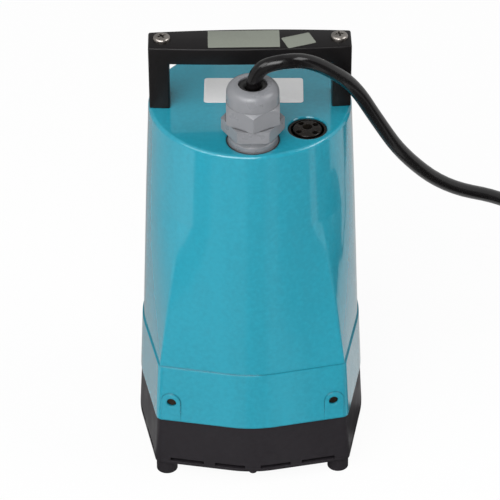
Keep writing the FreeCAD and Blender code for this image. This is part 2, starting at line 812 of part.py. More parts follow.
def base_shell():
    """Moulded lower casing: strainer wall, deck, pumping chamber, screw posts and rear outlet elbow."""
    body = new_body("shell_body")
    low = sketch_on(body, "shell_low", lift=Z_SHELL)
    outline(low, octagon("shell_low", BASE_MIDDLE, BASE_CORNER, d.corner_round, d.middle_round))
    high = sketch_on(body, "shell_high", lift=Z_LIP)
    outline(high, octagon("shell_high", BASE_MIDDLE - d.base_taper, BASE_CORNER - d.base_taper,
                          d.corner_round, d.middle_round))
    loft(body, low, high, "wall")
    inset = d.skirt_wall + d.spigot_gap
    spigot = sketch_on(body, "spigot_plan", lift=Z_LIP - 1)
    outline(spigot, octagon("spigot", SKIRT_MIDDLE - inset, SKIRT_CORNER - inset,
                            d.corner_round - d.spigot_gap, d.middle_round))
    pad(body, spigot, Z_BEARING_PLATE - d.spigot_gap - Z_LIP + 1, "spigot")
    inset = inset + d.spigot_wall
    well = sketch_on(body, "well_plan", lift=Z_DECK_TOP)
    outline(well, octagon("well", SKIRT_MIDDLE - inset, SKIRT_CORNER - inset, d.corner_round, d.middle_round))
    pocket(body, well, Z_BEARING_PLATE, "well")
    hollow = sketch_on(body, "hollow_plan", lift=Z_SHELL)
    outline(hollow, octagon("shell_in", BASE_MIDDLE - d.shell_wall, BASE_CORNER - d.shell_wall,
                            d.corner_round, d.middle_round))
    pocket(body, hollow, d.deck_height - Z_SHELL, "hollow")
    chamber = sketch_on(body, "chamber_plan", lift=Z_COVER_TOP)
    outline(chamber, scroll(d.volute_wall, SKIRT_MIDDLE - 3))
    pad(body, chamber, d.deck_height - Z_COVER_TOP + 1, "chamber")
    neck = sketch_on(body, "neck_plan", lift=d.port_floor)
    left = PORT_ACROSS - d.duct_half_width - d.volute_wall
    right = PORT_ACROSS + d.duct_half_width + d.volute_wall
    start = COVER_BACK + d.spigot_gap
    outline(neck, [(left, start), (right, start), (right, PORT_BACK), (left, PORT_BACK)])
    pad(body, neck, Z_LIP - d.port_floor, "neck")
    column(body, "elbow", PORT_OUTER, d.port_top - d.port_floor, (PORT_ACROSS, PORT_BACK, d.port_floor))
    holes(body, "posts", d.post_radius, d.deck_height - Z_COVER_TOP + 1, corners(POST_ACROSS),
          Z_COVER_TOP, cut=False)
    channel = sketch_on(body, "channel_plan", lift=Z_COVER_TOP)
    outline(channel, scroll(ZERO, PORT_BACK))
    pocket(body, channel, d.deck_height - Z_COVER_TOP, "channel")
    column(body, "passage", d.duct_passage, d.port_top - Z_COVER_TOP,
           (PORT_ACROSS, PORT_BACK, Z_COVER_TOP), cut=True)
    column(body, "outlet", d.port_radius, d.port_depth, (PORT_ACROSS, PORT_BACK, d.port_top - d.port_depth),
           cut=True)
    column(body, "seal_hole", d.seal_seat_radius + 2.5, 8, (0, 0, d.deck_height - 1), cut=True)
    holes(body, "post_taps", d.plate_screw_shank + d.screw_gap, 12, corners(POST_ACROSS), Z_COVER_TOP)
    slots = sketch_on(body, "slot_plan", lift=Z_SHELL)
    for near, far in ((d.slot_first, d.slot_break_start), (d.slot_break_end, d.slot_last)):
        for side_x in (-1, 1):
            for side_y in (-1, 1):
                low_x, high_x = (near, far) if side_x > 0 else (-far, -near)
                edge, out = POST_ACROSS + d.post_radius + 2, BASE_MIDDLE + 2
                low_y, high_y = (edge, out) if side_y > 0 else (-out, -edge)
                outline(slots, [(low_x, low_y), (high_x, low_y), (high_x, high_y), (low_x, high_y)])
                outline(slots, [(low_y, low_x), (high_y, low_x), (high_y, high_x), (low_y, high_x)])
    pocket(body, slots, d.slot_height, "slots")
    taps = joined("side_taps", side_rods("side_tap", d.side_screw_shank + d.screw_gap, 0,
                                          d.side_screw_length + d.side_screw_sink + d.side_tap_spare))
    place(cut_from("base_shell", body, taps), "base_shell")


def bottom_plate():
    body = new_body("bottom_plate")
    plan = sketch_on(body, "plate_plan", lift=Z_PLATE)
    outline(plan, octagon("plate", BASE_MIDDLE, BASE_CORNER, d.corner_round, d.middle_round))
    pad(body, plan, d.plate_thickness, "plate")
    holes(body, "feet", d.foot_radius, Z_PLATE + 1, corners(FOOT_ACROSS), 0, cut=False)
    holes(body, "sleeves", d.post_radius, d.cover_height - Z_PLATE, corners(POST_ACROSS), Z_PLATE, cut=False)
    holes(body, "screw_holes", d.plate_screw_shank + d.screw_gap, d.cover_height + 1, corners(POST_ACROSS), 0)
    # the moulding's gate mark hangs under the front edge
    column(body, "gate", d.gate_radius, d.gate_drop + 1, (0, d.gate_inset - BASE_MIDDLE, Z_PLATE - d.gate_drop))
    place(body, "bottom_plate")


def volute_cover():
    """Flat underside of the pumping chamber, with the eye that the water enters by."""
    body = new_body("volute_cover")
    plan = sketch_on(body, "cover_plan", lift=d.cover_height)
    half, bend, back = COVER_HALF, d.cover_corner_round, COVER_BACK
    short = half - bend
    left = PORT_ACROSS - d.duct_half_width - d.volute_wall
    right = PORT_ACROSS + d.duct_half_width + d.volute_wall
    outline(plan, [(-half, -short, bend), (-short, -half), (short, -half, bend), (half, -short),
                   (half, short, bend), (short, half), (right, half), (right, back), (left, back),
                   (left, half), (-short, half, bend), (-half, short)])
    circle(plan, 0, 0, d.eye_radius)
    for x, y in corners(POST_ACROSS):
        circle(plan, x, y, d.plate_screw_shank + d.screw_gap)
    pad(body, plan, d.cover_thickness, "cover")
    place(body, "volute_cover")


def screw(name, at, shank, length, head, head_height, turn=None):
    """A screw whose head seats at a place and whose shank runs up, or along its turned axis."""
    if turn is None:
        turn = FreeCAD.Rotation()
    stem = solid("Cylinder", name + "_shank", at, turn, Radius=shank, Height=length)
    cap = solid("Cylinder", name + "_head", at, turn * FreeCAD.Rotation(FreeCAD.Vector(1, 0, 0), 180),
                Radius=head, Height=head_height)
    return joined(name, [stem, cap])


def screws():
    low = [screw("plate_screw", (x, y, Z_PLATE), d.plate_screw_shank, d.plate_screw_length,
                 d.plate_screw_head, 2) for x, y in corners(POST_ACROSS)]
    place(joined("plate_screws", low, "Compound"), "plate_screws")
    side = []
    for side_x in (-1, 1):
        for side_y in (-1, 1):
            side.append(screw("side_screw", side_spot(side_x, side_y, d.side_screw_sink),
                              d.side_screw_shank, d.side_screw_length, d.side_screw_head, 1.5,
                              side_turn(side_x, side_y)))
    place(joined("side_screws", side, "Compound"), "side_screws")
    inner = [screw("bearing_plate_screw", (x, y, Z_BEARING_PLATE), d.plate_screw_shank,
                   d.bearing_plate_screw_length, d.plate_screw_head, 2) for x, y in corners(SCREW_ACROSS)]
    place(joined("bearing_plate_screws", inner, "Compound"), "bearing_plate_screws")
    radius = d.bracket_screw_radius
    upper = [screw("bracket_screw", (radius * cosine(turn), radius * sine(turn), d.bracket_height),
                   d.bracket_screw_shank, 9.5, d.bracket_screw_head, 1.8) for turn in (60, 180, 300)]
    place(joined("bracket_screws", upper, "Compound"), "bracket_screws")


def bearing_plate():
    """Plate between the pumping end and the motor, with the lower bearing's seat and the seal's recess."""
    body = new_body("bearing_plate")
    inset = d.skirt_wall + d.spigot_gap
    plan = sketch_on(body, "bearing_plate_plan", lift=Z_BEARING_PLATE)
    outline(plan, octagon("bearing_plate", SKIRT_MIDDLE - inset, SKIRT_CORNER - inset,
                          d.corner_round - d.spigot_gap, d.middle_round))
    for x, y in corners(SCREW_ACROSS):
        circle(plan, x, y, d.plate_screw_shank + d.screw_gap)
    pad(body, plan, d.bearing_plate_thickness, "plate")
    low, axis = Z_BEARING_PLATE, [(ZERO, ZERO)]
    boss = Z_LOWER_BEARING + d.bearing_width + 0.5 - low
    column(body, "bearing_boss", d.bearing_radius + 4, boss, (0, 0, low))
    holes(body, "bearing_seat", d.bearing_radius + d.fit_gap, boss, axis, Z_LOWER_BEARING)
    holes(body, "shaft_hole", d.shaft_radius + 1.2, boss, axis, low)
    holes(body, "seal_recess", d.seal_seat_radius + d.fit_gap, 5, axis, low)
    inner, outer = SEAL_RING - d.ring_groove_half, SEAL_RING + d.ring_groove_half
    base, over = d.ledge_height - d.ring_groove_depth, d.ledge_height + 1
    revolve(body, "seal_groove", [(inner, base), (outer, base), (outer, over), (inner, over)], cut=True)
    place(body, "bearing_plate")
    place(solid("Torus", "housing_seal", (0, 0, d.ledge_height - d.ring_wire), Radius1=SEAL_RING,
                Radius2=d.ring_wire), "housing_seal")


def bearing(name, seat):
    top = seat + d.bearing_width
    place(ring(name + "_outer", d.bearing_shield, d.bearing_radius, seat, top), name + "_outer")
    place(ring(name + "_inner", d.shaft_radius + d.fit_gap / 3, d.bearing_inner, seat, top), name + "_inner")


def shaft():
    shoulder = Z_LOWER_BEARING + d.bearing_width
    body = turned("shaft", [
        (ZERO, d.shaft_bottom), (d.shaft_thread, d.shaft_bottom), (d.shaft_thread, d.impeller_floor),
        (d.shaft_radius, d.impeller_floor), (d.shaft_radius, shoulder), (d.shaft_middle_radius, shoulder),
        (d.shaft_middle_radius, d.upper_bearing_seat), (d.shaft_radius, d.upper_bearing_seat),
        (d.shaft_radius, d.shaft_top), (ZERO, d.shaft_top)])
    place(body, "shaft")


def impeller():
    """Open impeller: curved vanes under a round shroud, on a hub that the shaft's end screw holds."""
    low = d.impeller_base
    under = low + d.vane_height
    over = under + d.shroud_thickness
    bore = d.shaft_radius + d.fit_gap
    body = turned("impeller", [
        (d.shaft_thread + d.fit_gap, low), (d.hub_radius, low), (d.hub_radius, under),
        (d.impeller_radius, under), (d.impeller_radius, over - 0.8), (d.hub_radius + 2, over),
        (d.hub_radius - 1, over + 2), (d.hub_radius - 1, d.seal_collar_base), (bore, d.seal_collar_base),
        (bore, d.impeller_floor), (d.shaft_thread + d.fit_gap, d.impeller_floor)])
    vane = sketch_on(body, "vane_plan", lift=low)
    start, tip, sweep = d.hub_radius - 1, d.impeller_radius - 0.2, 55
    thick = d.vane_thickness
    outline(vane, [
        (start, ZERO, d.vane_bend), (tip * cosine(sweep), tip * sine(sweep)),
        ((tip - thick) * cosine(sweep + 3), (tip - thick) * sine(sweep + 3), -(d.vane_bend - thick)),
        (start - 0.5, thick)])
    blade = pad(body, vane, d.vane_height + 0.5, "vane")
    polar(body, [blade], d.vane_count, "vanes")
    place(body, "impeller")
    nut_height = 4
    place(prism("impeller_nut", hexagon(d.nut_size), low - nut_height, nut_height,
                d.shaft_thread + d.fit_gap / 3), "impeller_nut")


def shaft_seal():
    """Stationary seat, rotating face, spring and collar that keep the water out of the motor."""
    seat_low = Z_BEARING_PLATE + 0.2
    place(ring("seal_seat", d.shaft_radius + 1.2, d.seal_seat_radius, seat_low, seat_low + 4.8), "seal_seat")
    face_high = seat_low - 0.05
    face_low = face_high - 5
    bore = d.shaft_radius + d.fit_gap
    place(turned("seal_face", [
        (bore, face_low), (d.seal_face_radius, face_low), (d.seal_face_radius, face_high - 1.5),
        (d.seal_face_radius - 1.4, face_high - 1.5), (d.seal_face_radius - 1.4, face_high),
        (bore, face_high)]), "seal_face")
    collar_top = d.seal_collar_base + 3
    place(ring("seal_collar", bore, d.seal_face_radius - 0.2, d.seal_collar_base, collar_top), "seal_collar")
    coil_spring("seal_spring", d.seal_spring_radius - 1, d.seal_wire, collar_top, face_low, 4)


def coil_spring(name, radius, wire, low, high, turns, across=None, forward=None):
    """A round-wire spring between two heights, as one tube on two arcs for each quarter turn."""
    radius, wire = Size.of(radius).value, Size.of(wire).value
    base = low.value + wire + 0.05
    climb = high.value - wire - 0.05 - base
    slope = climb / turns / (2 * math.pi * radius)
    edges = []
    spots = []
    for quarter in range(4 * turns + 1):
        angle = quarter * math.pi / 2
        spot = FreeCAD.Vector(radius * math.cos(angle), radius * math.sin(angle),
                              base + climb * quarter / (4 * turns))
        spots.append((spot, FreeCAD.Vector(-math.sin(angle), math.cos(angle), slope).normalize()))
    for (start, start_along), (end, end_along) in zip(spots, spots[1:]):
        edges += biarc(start, start_along, end, end_along)
    spring = DOC.addObject("Part::Feature", name)
    spring.Shape = tube(edges, wire)
    place(spring, name, across, forward)


def motor():
    low, high = d.stator_base, d.stator_base + d.stator_height
    place(ring("rotor_core", d.shaft_middle_radius + d.fit_gap / 3, d.rotor_radius, low, high), "rotor_core")
    rings = [ring("end_ring", d.shaft_middle_radius + 4, d.rotor_radius - 0.5, base, base + d.end_ring_height)
             for base in (low - d.end_ring_height, high)]
    place(joined("rotor_end_rings", rings, "Compound"), "rotor_end_rings")
    core = new_body("stator_core")
    plan = sketch_on(core, "lamination_plan", lift=low)
    circle(plan, 0, 0, d.stator_radius)
    circle(plan, 0, 0, d.bore_radius)
    pad(core, plan, d.stator_height, "laminations")
    slot = sketch_on(core, "slot_plan", lift=low)
    half, mouth = d.slot_half_width, d.slot_half_width / 2
    outline(slot, [(d.bore_radius - 1, -mouth), (d.slot_inner, -half), (d.slot_outer, -half, half),
                   (d.slot_outer + half, ZERO, half), (d.slot_outer, half), (d.slot_inner, half),
                   (d.bore_radius - 1, mouth)])
    cut = pocket(core, slot, d.stator_height, "slot")
    polar(core, [cut], d.slot_count, "slots")
    place(core, "stator_core")
    bend = 3
    windings = []
    for base, tip in ((low, low - d.winding_height), (high, high + d.winding_height)):
        step = bend if tip.value > base.value else -bend
        windings.append(turned("end_turn", [
            (d.winding_inner, base), (d.winding_outer, base), (d.winding_outer, tip - step),
            (d.winding_outer - bend, tip), (d.winding_inner + bend, tip), (d.winding_inner, tip - step)]))
    place(joined("stator_windings", windings, "Compound"), "stator_windings")


def upper_bracket():
    """Spoked bracket that holds the upper bearing under the ribs of the housing."""
    top = d.upper_bearing_seat + d.bearing_width
    hub = d.bearing_radius + 2.6
    body = turned("bracket_body", [
        (d.bearing_radius + d.fit_gap, d.bracket_height), (d.bracket_radius, d.bracket_height),
        (d.bracket_radius, Z_BRACKET_TOP), (hub, Z_BRACKET_TOP), (hub, top + 2.4), (3, top + 2.4),
        (3, top + 0.1), (d.bearing_radius + d.fit_gap, top + 0.1)])
    window = sketch_on(body, "window_plan", lift=d.bracket_height)
    inner, outer = hub + 3, d.bracket_radius - 7
    low_turn, high_turn = -20, 20
    outline(window, [
        (inner * cosine(low_turn), inner * sine(low_turn)), (outer * cosine(low_turn), outer * sine(low_turn), outer),
        (outer * cosine(high_turn), outer * sine(high_turn)), (inner * cosine(high_turn), inner * sine(high_turn), -inner)])
    opening = pocket(body, window, d.bracket_thickness, "window")
    polar(body, [opening], d.rib_count, "windows")
    spots = [(d.bracket_screw_radius * cosine(turn), d.bracket_screw_radius * sine(turn))
             for turn in (60, 180, 300)]
    drill = [solid("Cylinder", "bracket_hole", (x, y, d.bracket_height - 1),
                   Radius=d.bracket_screw_shank + d.screw_gap, Height=10) for x, y in spots]
    place(cut_from("bracket", body, joined("bracket_holes", drill)), "upper_bracket")


def capacitor():
    body = new_body("capacitor")
    plan = sketch_on(body, "capacitor_plan", lift=Z_BRACKET_TOP)
    half, deep, bend = d.capacitor_length / 2, d.capacitor_depth / 2, 3
    outline(plan, [
        (-half, -deep + bend, Size.of(bend)), (-half + bend, -deep), (half - bend, -deep, Size.of(bend)),
        (half, -deep + bend), (half, deep - bend, Size.of(bend)), (half - bend, deep),
        (-half + bend, deep, Size.of(bend)), (-half, deep - bend)])
    pad(body, plan, d.capacitor_height, "case")
    place(body, "capacitor", ZERO, -d.capacitor_back)


def pressure_switch():
    """Screwed ring, rubber disc, plunger, spring and switch that sense the water's depth in the lid."""
    at = (d.switch_across, d.switch_forward)
    ring_low = Z_SWITCH_SEAT + d.diaphragm_thickness
    body = new_body("switch_ring")
    plan = sketch_on(body, "switch_ring_plan", lift=ring_low)
    circle(plan, 0, 0, d.switch_ring_radius)
    circle(plan, 0, 0, d.switch_vent)
    for quarter in range(4):
        turn = d.spanner_turn + 90 * quarter
        circle(plan, d.spanner_radius * cosine(turn), d.spanner_radius * sine(turn), d.spanner_hole)
    pad(body, plan, d.switch_ring_height, "disc")
    place(body, "switch_ring", *at)
    place(turned("switch_diaphragm", [
        (ZERO, Z_SWITCH_SEAT), (d.switch_ring_radius, Z_SWITCH_SEAT), (d.switch_ring_radius, ring_low),
        (ZERO, ring_low)]), "switch_diaphragm", *at)
    head_top = Z_SWITCH_SEAT - 0.1
    head_low = head_top - 2
    stem_low = Z_BOSS - 7
    place(turned("switch_plunger", [
        (ZERO, stem_low), (d.plunger_stem, stem_low), (d.plunger_stem, head_low), (d.plunger_head, head_low),
        (d.plunger_head, head_top), (ZERO, head_top)]), "switch_plunger", *at)
    base = Z_BOSS - d.switch_body_height
    case = new_body("pressure_switch")
    sketch = sketch_on(case, "switch_case_plan", lift=base)
    half, deep = d.plunger_bore + 3.5, d.plunger_bore - 0.5
    outline(sketch, [(-half, -deep), (half, -deep), (half, deep), (-half, deep)])
    pad(case, sketch, d.switch_body_height, "case")
    holes(case, "plunger_guide", d.plunger_stem + d.guide_gap, 14, [(ZERO, ZERO)],
          stem_low - d.plunger_travel - 0.5)
    case.Placement = FreeCAD.Placement(FreeCAD.Vector(), FreeCAD.Rotation(FreeCAD.Vector(0, 0, 1), 47))
    place(case, "pressure_switch", *at)
    coil_spring("switch_spring", d.plunger_stem + 2.4, d.switch_wire, Z_BOSS, head_low, 3, *at)


def cable_gland():
    at = (d.gland_across, d.gland_forward)
    seat = Z_TOP - d.spot_face_depth
    low = seat + d.washer_thickness
    place(ring("gland_washer", d.gland_thread + d.screw_gap, d.washer_radius, seat, low), "gland_washer", *at)
    collar_top = low + d.gland_collar_height
    hex_top = collar_top + d.gland_hex_height
    bottom = Z_BOSS - 1
    bore = d.seal_outer + 0.1
    nipple_top = hex_top + 6
    body = new_body("gland_body")
    rim = low + d.gland_collar_rim
    revolve(body, "thread_and_collar", [
        (bore, bottom), (d.gland_thread - 0.05, bottom), (d.gland_thread - 0.05, low),
        (d.gland_collar_radius, low), (d.gland_collar_radius, rim - 0.6), (d.gland_neck_radius, rim),
        (d.gland_neck_radius, collar_top + 1),
        (d.gland_thread - 0.3, collar_top + 1), (d.gland_thread - 0.3, nipple_top), (bore, nipple_top)])
    flats = sketch_on(body, "body_hexagon", lift=collar_top)
    outline(flats, hexagon(d.gland_flats, 0))
    circle(flats, 0, 0, bore)
    pad(body, flats, d.gland_hex_height, "body_flats")
    edge = d.gland_flats / 2
    revolve(body, "body_chamfer", [
        (edge + 0.2, collar_top - 1), (edge + 5, collar_top - 1), (edge + 5, collar_top + 2.4)], cut=True)
    place(body, "gland_body", *at)
    nut_low = hex_top + 0.2
    nut_hex_top = nut_low + d.nut_hex_height
    nut_top = nut_low + d.nut_height
    nut = new_body("gland_nut")
    plan = sketch_on(nut, "nut_hexagon", lift=nut_low)
    outline(plan, hexagon(d.nut_flats, 30))
    pad(nut, plan, d.nut_hex_height, "nut_flats")
    edge, bend = d.nut_flats / 2, d.dome_round
    dome = edge - 0.1
    revolve(nut, "dome", [
        (0, nut_hex_top - 3), (dome, nut_hex_top - 3), (dome, nut_top - bend, bend),
        (dome - bend, nut_top), (0, nut_top)])
    revolve(nut, "nut_chamfer", [
        (edge + 0.1, nut_hex_top), (edge + 4.1, nut_hex_top - 4), (edge + 4.1, nut_hex_top + 1),
        (edge + 0.1, nut_hex_top + 1)], cut=True)
    revolve(nut, "nut_bore", [
        (0, nut_low - 1), (d.gland_thread, nut_low - 1), (d.gland_thread, nut_low + 11),
        (d.nut_opening, nut_low + 17), (d.nut_opening, nut_top + 1), (0, nut_top + 1)], cut=True)
    place(nut, "gland_nut", *at)
    seal_low = hex_top - 4
    place(turned("gland_seal", [
        (d.cable_radius + d.fit_gap, seal_low), (d.seal_outer, seal_low), (d.seal_outer, nut_low + 14),
        (d.nut_opening - 0.3, nut_low + 16.5), (d.nut_opening - 0.3, nut_top - 1.2),
        (d.cable_radius + 1.4, nut_top - 1.2), (d.cable_radius + d.fit_gap, nut_top - 2.6)]),
        "gland_seal", *at)
    claw = new_body("gland_claw")
    revolve(claw, "claw_ring", [
        (d.seal_outer + 0.1, nipple_top + 0.1), (d.gland_thread - 0.5, nipple_top + 0.1),
        (d.gland_thread - 0.5, nut_low + 10.6), (d.seal_outer + 0.1, nut_low + 12.4)])
    place(claw, "gland_claw", *at)
    place(turned("cable_entry", [
        (ZERO, bottom - 6), (d.cable_radius, bottom - 6), (d.cable_radius, nut_top - 6), (ZERO, nut_top - 6)]),
        "cable_entry", *at)


def handle():
    """Carrying handle: a bar between two legs, bowed in plan, held by a long screw down each leg."""
    half, height = d.handle_half_length, d.handle_height
    inner = half - d.handle_leg
    gap_top = height - d.handle_thickness
    ends, middle = d.handle_end_depth / 2, d.handle_middle_depth / 2
    bow = middle - ends
    bow_radius = note("handle_bow", (half * half + bow * bow) / (2 * bow))
    body = new_body("handle_body")
    plan = sketch_on(body, "handle_plan", lift=Z_TOP)
    outline(plan, [(-half, -ends, bow_radius), (half, -ends), (half, ends, bow_radius), (-half, ends)])
    pad(body, plan, height, "bar")
    gap = sketch_on(body, "hand_gap", "XZ_Plane")
    outline(gap, [(-inner, Z_TOP - 1), (inner, Z_TOP - 1), (inner, Z_TOP + gap_top), (-inner, Z_TOP + gap_top)])
    opening = pocket(body, gap, middle * 3, "hand_opening")
    opening.Midplane = True
    DOC.recompute()
    top = Z_TOP + height
    fillet(body, opening, d.handle_round, lambda edge: level(edge, top), "top_edges")
    spots = [(d.handle_screw_across * side, ZERO) for side in (-1, 1)]
    holes(body, "screw_bores", d.handle_screw_shank + d.screw_gap, height + 1, spots, Z_TOP - 0.5)
    holes(body, "screw_recesses", d.handle_screw_head + 0.35, height, spots, top - d.handle_screw_recess)
    place(body, "handle", ZERO, -d.handle_back)
    fasteners = []
    for x, y in spots:
        fasteners.append(screw("handle_screw", (x, y, top - d.handle_screw_recess), d.handle_screw_shank,
                               height + d.handle_screw_bite - d.handle_screw_recess, d.handle_screw_head,
                               d.handle_screw_head_height, FreeCAD.Rotation(FreeCAD.Vector(1, 0, 0), 180)))
    place(joined("handle_screws", fasteners, "Compound"), "handle_screws", ZERO, -d.handle_back)


# the free cable's route, chosen by hand: across, forward of the axis as a minus, and height
ROUTE = (
    (0.9, -39.4, 255.3), (0.9, -39.4, 270.5), (17, -39, 280), (36, -31, 274), (56, -14, 243),
    (71, -5, 216), (90, 9, 184), (116, 30, 148.5), (152, 53, 120), (176, 68, 80), (193, 77, 42),
    (214, 83.5, 14.5), (240, 86, 4.2), (264, 86, 4.2))


def rounded_route(points):
    """Straight runs joined by tangent arcs, as edges, with the smallest arc's radius."""
    edges = []
    radii = []
    start = points[0]
    for before, corner, after in zip(points, points[1:], points[2:]):
        into = corner - before
        away = after - corner
        half_turn = into.getAngle(away) / 2
        reach = 0.45 * min(into.Length, away.Length)
        radii.append(reach / math.tan(half_turn))
        into.normalize()
        away.normalize()
        first, last = corner - into * reach, corner + away * reach
        # the arc's middle lies on the line from the corner to the arc's centre
        inward = (away - into).normalize()
        middle = corner + inward * (radii[-1] / math.cos(half_turn) - radii[-1])
        edges.append(Part.LineSegment(start, first).toShape())
        edges.append(Part.Arc(first, middle, last).toShape())
        start = last
    edges.append(Part.LineSegment(start, points[-1]).toShape())
    print("cable arc radii, mm: " + ", ".join("%.0f" % radius for radius in radii))
    return edges


def tube(edges, radius):
    """A round solid along edges that follow each other."""
    spine = Part.Wire(edges)
    start = edges[0].valueAt(edges[0].FirstParameter)
    along = edges[0].tangentAt(edges[0].FirstParameter)
    section = Part.Wire([Part.Circle(start, along, radius).toShape()])
    shape = spine.makePipeShell([section], True, False)
    expected = math.pi * radius ** 2 * spine.Length
    print("tube %.0f mm long, volume %.2f of %.2f cm3" % (spine.Length, shape.Volume / 1000, expected / 1000))
    return shape


def biarc(start, start_along, end, end_along):
    """Two arcs that leave and arrive along the given directions and meet smoothly between."""
    across = end - start
    both = start_along + end_along
    a = both.dot(both) - 4
    b = -2 * across.dot(both)
    c = across.dot(across)
    reach = (-b - math.sqrt(b * b - 4 * a * c)) / (2 * a)
    knee_one, knee_two = start + start_along * reach, end - end_along * reach
    meeting = (knee_one + knee_two) * 0.5
    return [corner_arc(start, knee_one, meeting), corner_arc(meeting, knee_two, end)]


def corner_arc(first, corner, last):
    """The arc from first to last that is tangent to the lines from both to the corner."""
    half_turn = (corner - first).getAngle(last - corner) / 2
    radius = (corner - first).Length / math.tan(half_turn)
    inward = ((first - corner).normalize() + (last - corner).normalize()).normalize()
    middle = corner + inward * (radius / math.cos(half_turn) - radius)
    return Part.Arc(first, middle, last).toShape()


def coil_edges(start, along, outer, pitch, climb, straight):
    """A flat spiral in, a climb in its inmost half turn, and a spiral out above it, with straight ends."""
    sideways = FreeCAD.Vector(along.y, -along.x, 0)
    entry = start + along * straight
    centre = entry + sideways * outer
    inward_turns, outward_turns = 8, 8
    edges = [Part.LineSegment(start, entry).toShape()]
    here, heading, radius = entry, along, outer
    side = -1
    for step in range(inward_turns + 1 + outward_turns):
        height = here.z
        if step < inward_turns:
            radius -= pitch / 2
        elif step == inward_turns:
            height += climb
        else:
            radius += pitch / 2
        side = -side
        following = centre + sideways * (radius * side)
        following.z = height
        edges += biarc(here, heading, following, -heading)
        here, heading = following, -heading
    end = here + heading * straight
    edges.append(Part.LineSegment(here, end).toShape())
    return edges, end, heading


def least_gap(edges, radius):
    """Smallest clearance between parts of a wound tube that are over a third of a turn apart."""
    step = radius / 2
    points = []
    for edge in edges:
        points += edge.discretize(max(2, int(edge.Length / step)))[:-1]
    skip = int(60 / step)
    least = min((points[i] - points[j]).Length for i in range(len(points))
                for j in range(i + skip, len(points)))
    return least - 2 * radius


def cable():
    """Free stretch, wound remainder and angled plug of the mains cable."""
    radius = d.cable_radius.value
    points = [FreeCAD.Vector(*point) for point in ROUTE]
    free = DOC.addObject("Part::Feature", "power_cable")
    free.Shape = tube(rounded_route(points), radius)
    place(free, "power_cable")
    along = (points[-1] - points[-2]).normalize()
    edges, end, heading = coil_edges(points[-1], along, d.coil_radius.value, d.coil_pitch.value,
                                     d.coil_climb.value, 2 * radius)
    print("least gap in the coil: %.2f mm" % least_gap(edges, radius))
    coil = DOC.addObject("Part::Feature", "cable_coil")
    coil.Shape = tube(edges, radius)
    place(coil, "cable_coil")
    plug(end, heading)


def plug(end, heading):
    """Round angled plug that lies on its back with its pins up, and the tapered boot on its cable."""
    reach = d.boot_length + d.plug_radius - 1
    yaw = math.degrees(math.atan2(heading.y, heading.x))
    facing = FreeCAD.Rotation(FreeCAD.Vector(0, 0, 1), yaw)
    spot = [end.x + heading.x * reach, end.y + heading.y * reach]
    body = new_body("plug_body")
    top, edge = d.plug_height, d.plug_radius
    revolve(body, "plug_case", [
        (0, 0.3), (edge - 4, 0.3), (edge, 4.3), (edge, 9), (edge - 1.5, 11), (edge - 1.5, 15),
        (edge, 17), (edge, top), (0, top)])
    body.Placement = FreeCAD.Placement(FreeCAD.Vector(), facing)
    boot = solid("Cone", "plug_boot", (end.x, end.y, end.z), facing * FreeCAD.Rotation(FreeCAD.Vector(0, 1, 0), 90),
                 Radius1=d.cable_radius + 0.7, Radius2=d.cable_radius + 2.6, Height=d.boot_length + 2)
    for axis, amount in zip("xy", spot):
        body.setExpression("Placement.Base." + axis, amount.text)
    place(joined("plug", [body, boot]), "plug")
    pins = []
    for side in (-1, 1):
        offset = d.pin_spacing / 2 * side
        x = spot[0] - offset * heading.y
        y = spot[1] + offset * heading.x
        pins.append(solid("Cylinder", "pin", (x, y, top), Radius=d.pin_radius, Height=d.pin_length - 1))
        pins.append(solid("Cone", "pin_tip", (x, y, top + d.pin_length - 1), Radius1=d.pin_radius,
                          Radius2=d.pin_radius - 1, Height=1))
    place(joined("plug_pins", pins), "plug_pins")


def write_pieces():
    """Check every object and every piece, then write one file for each piece."""
    DOC.recompute()
    broken = [item.Label for item in DOC.Objects if "Invalid" in item.State or "Error" in item.State]
    if broken:
        raise RuntimeError("failed objects: " + ", ".join(broken))
    os.makedirs("parts", exist_ok=True)
    for piece in PIECES:
        shape = piece.Shape
        if shape.isNull() or not shape.isValid():
            raise RuntimeError("bad shape: " + piece.Label)
        shape.exportStep("parts/%s.step" % piece.Label)
        print("%-24s %2d solids %10.1f mm3" % (piece.Label, len(shape.Solids), shape.Volume))


motor_housing()
base_shell()
bottom_plate()
volute_cover()
screws()
bearing_plate()
bearing("lower_bearing", Z_LOWER_BEARING)
bearing("upper_bearing", d.upper_bearing_seat)
shaft()
impeller()
shaft_seal()
motor()
upper_bracket()
capacitor()
pressure_switch()
cable_gland()
handle()
cable()
write_pieces()
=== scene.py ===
"""Dresses the submersible sump pump: finishes for the built parts, small visible pieces, cable, stage."""
import math

import bmesh
import bpy
from mathutils import Matrix, Vector


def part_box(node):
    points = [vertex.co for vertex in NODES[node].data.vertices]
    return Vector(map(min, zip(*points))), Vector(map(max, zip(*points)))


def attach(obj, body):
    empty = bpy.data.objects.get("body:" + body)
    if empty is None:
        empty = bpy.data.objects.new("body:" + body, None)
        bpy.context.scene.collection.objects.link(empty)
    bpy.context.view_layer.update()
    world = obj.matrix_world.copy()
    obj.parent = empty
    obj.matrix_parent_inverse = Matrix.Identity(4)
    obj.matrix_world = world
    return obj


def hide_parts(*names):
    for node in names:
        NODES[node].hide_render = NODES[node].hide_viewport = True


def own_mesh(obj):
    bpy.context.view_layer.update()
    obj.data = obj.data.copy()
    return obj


bl_info = {
    "name": "Sump pump dressing",
    "version": (1, 0, 0),
    "blender": (4, 5, 0),
    "location": "View3D > Sidebar > Pump",
    "description": "Finishes, small visible pieces, cable and stage for a submersible sump pump",
    "category": "Object",
}

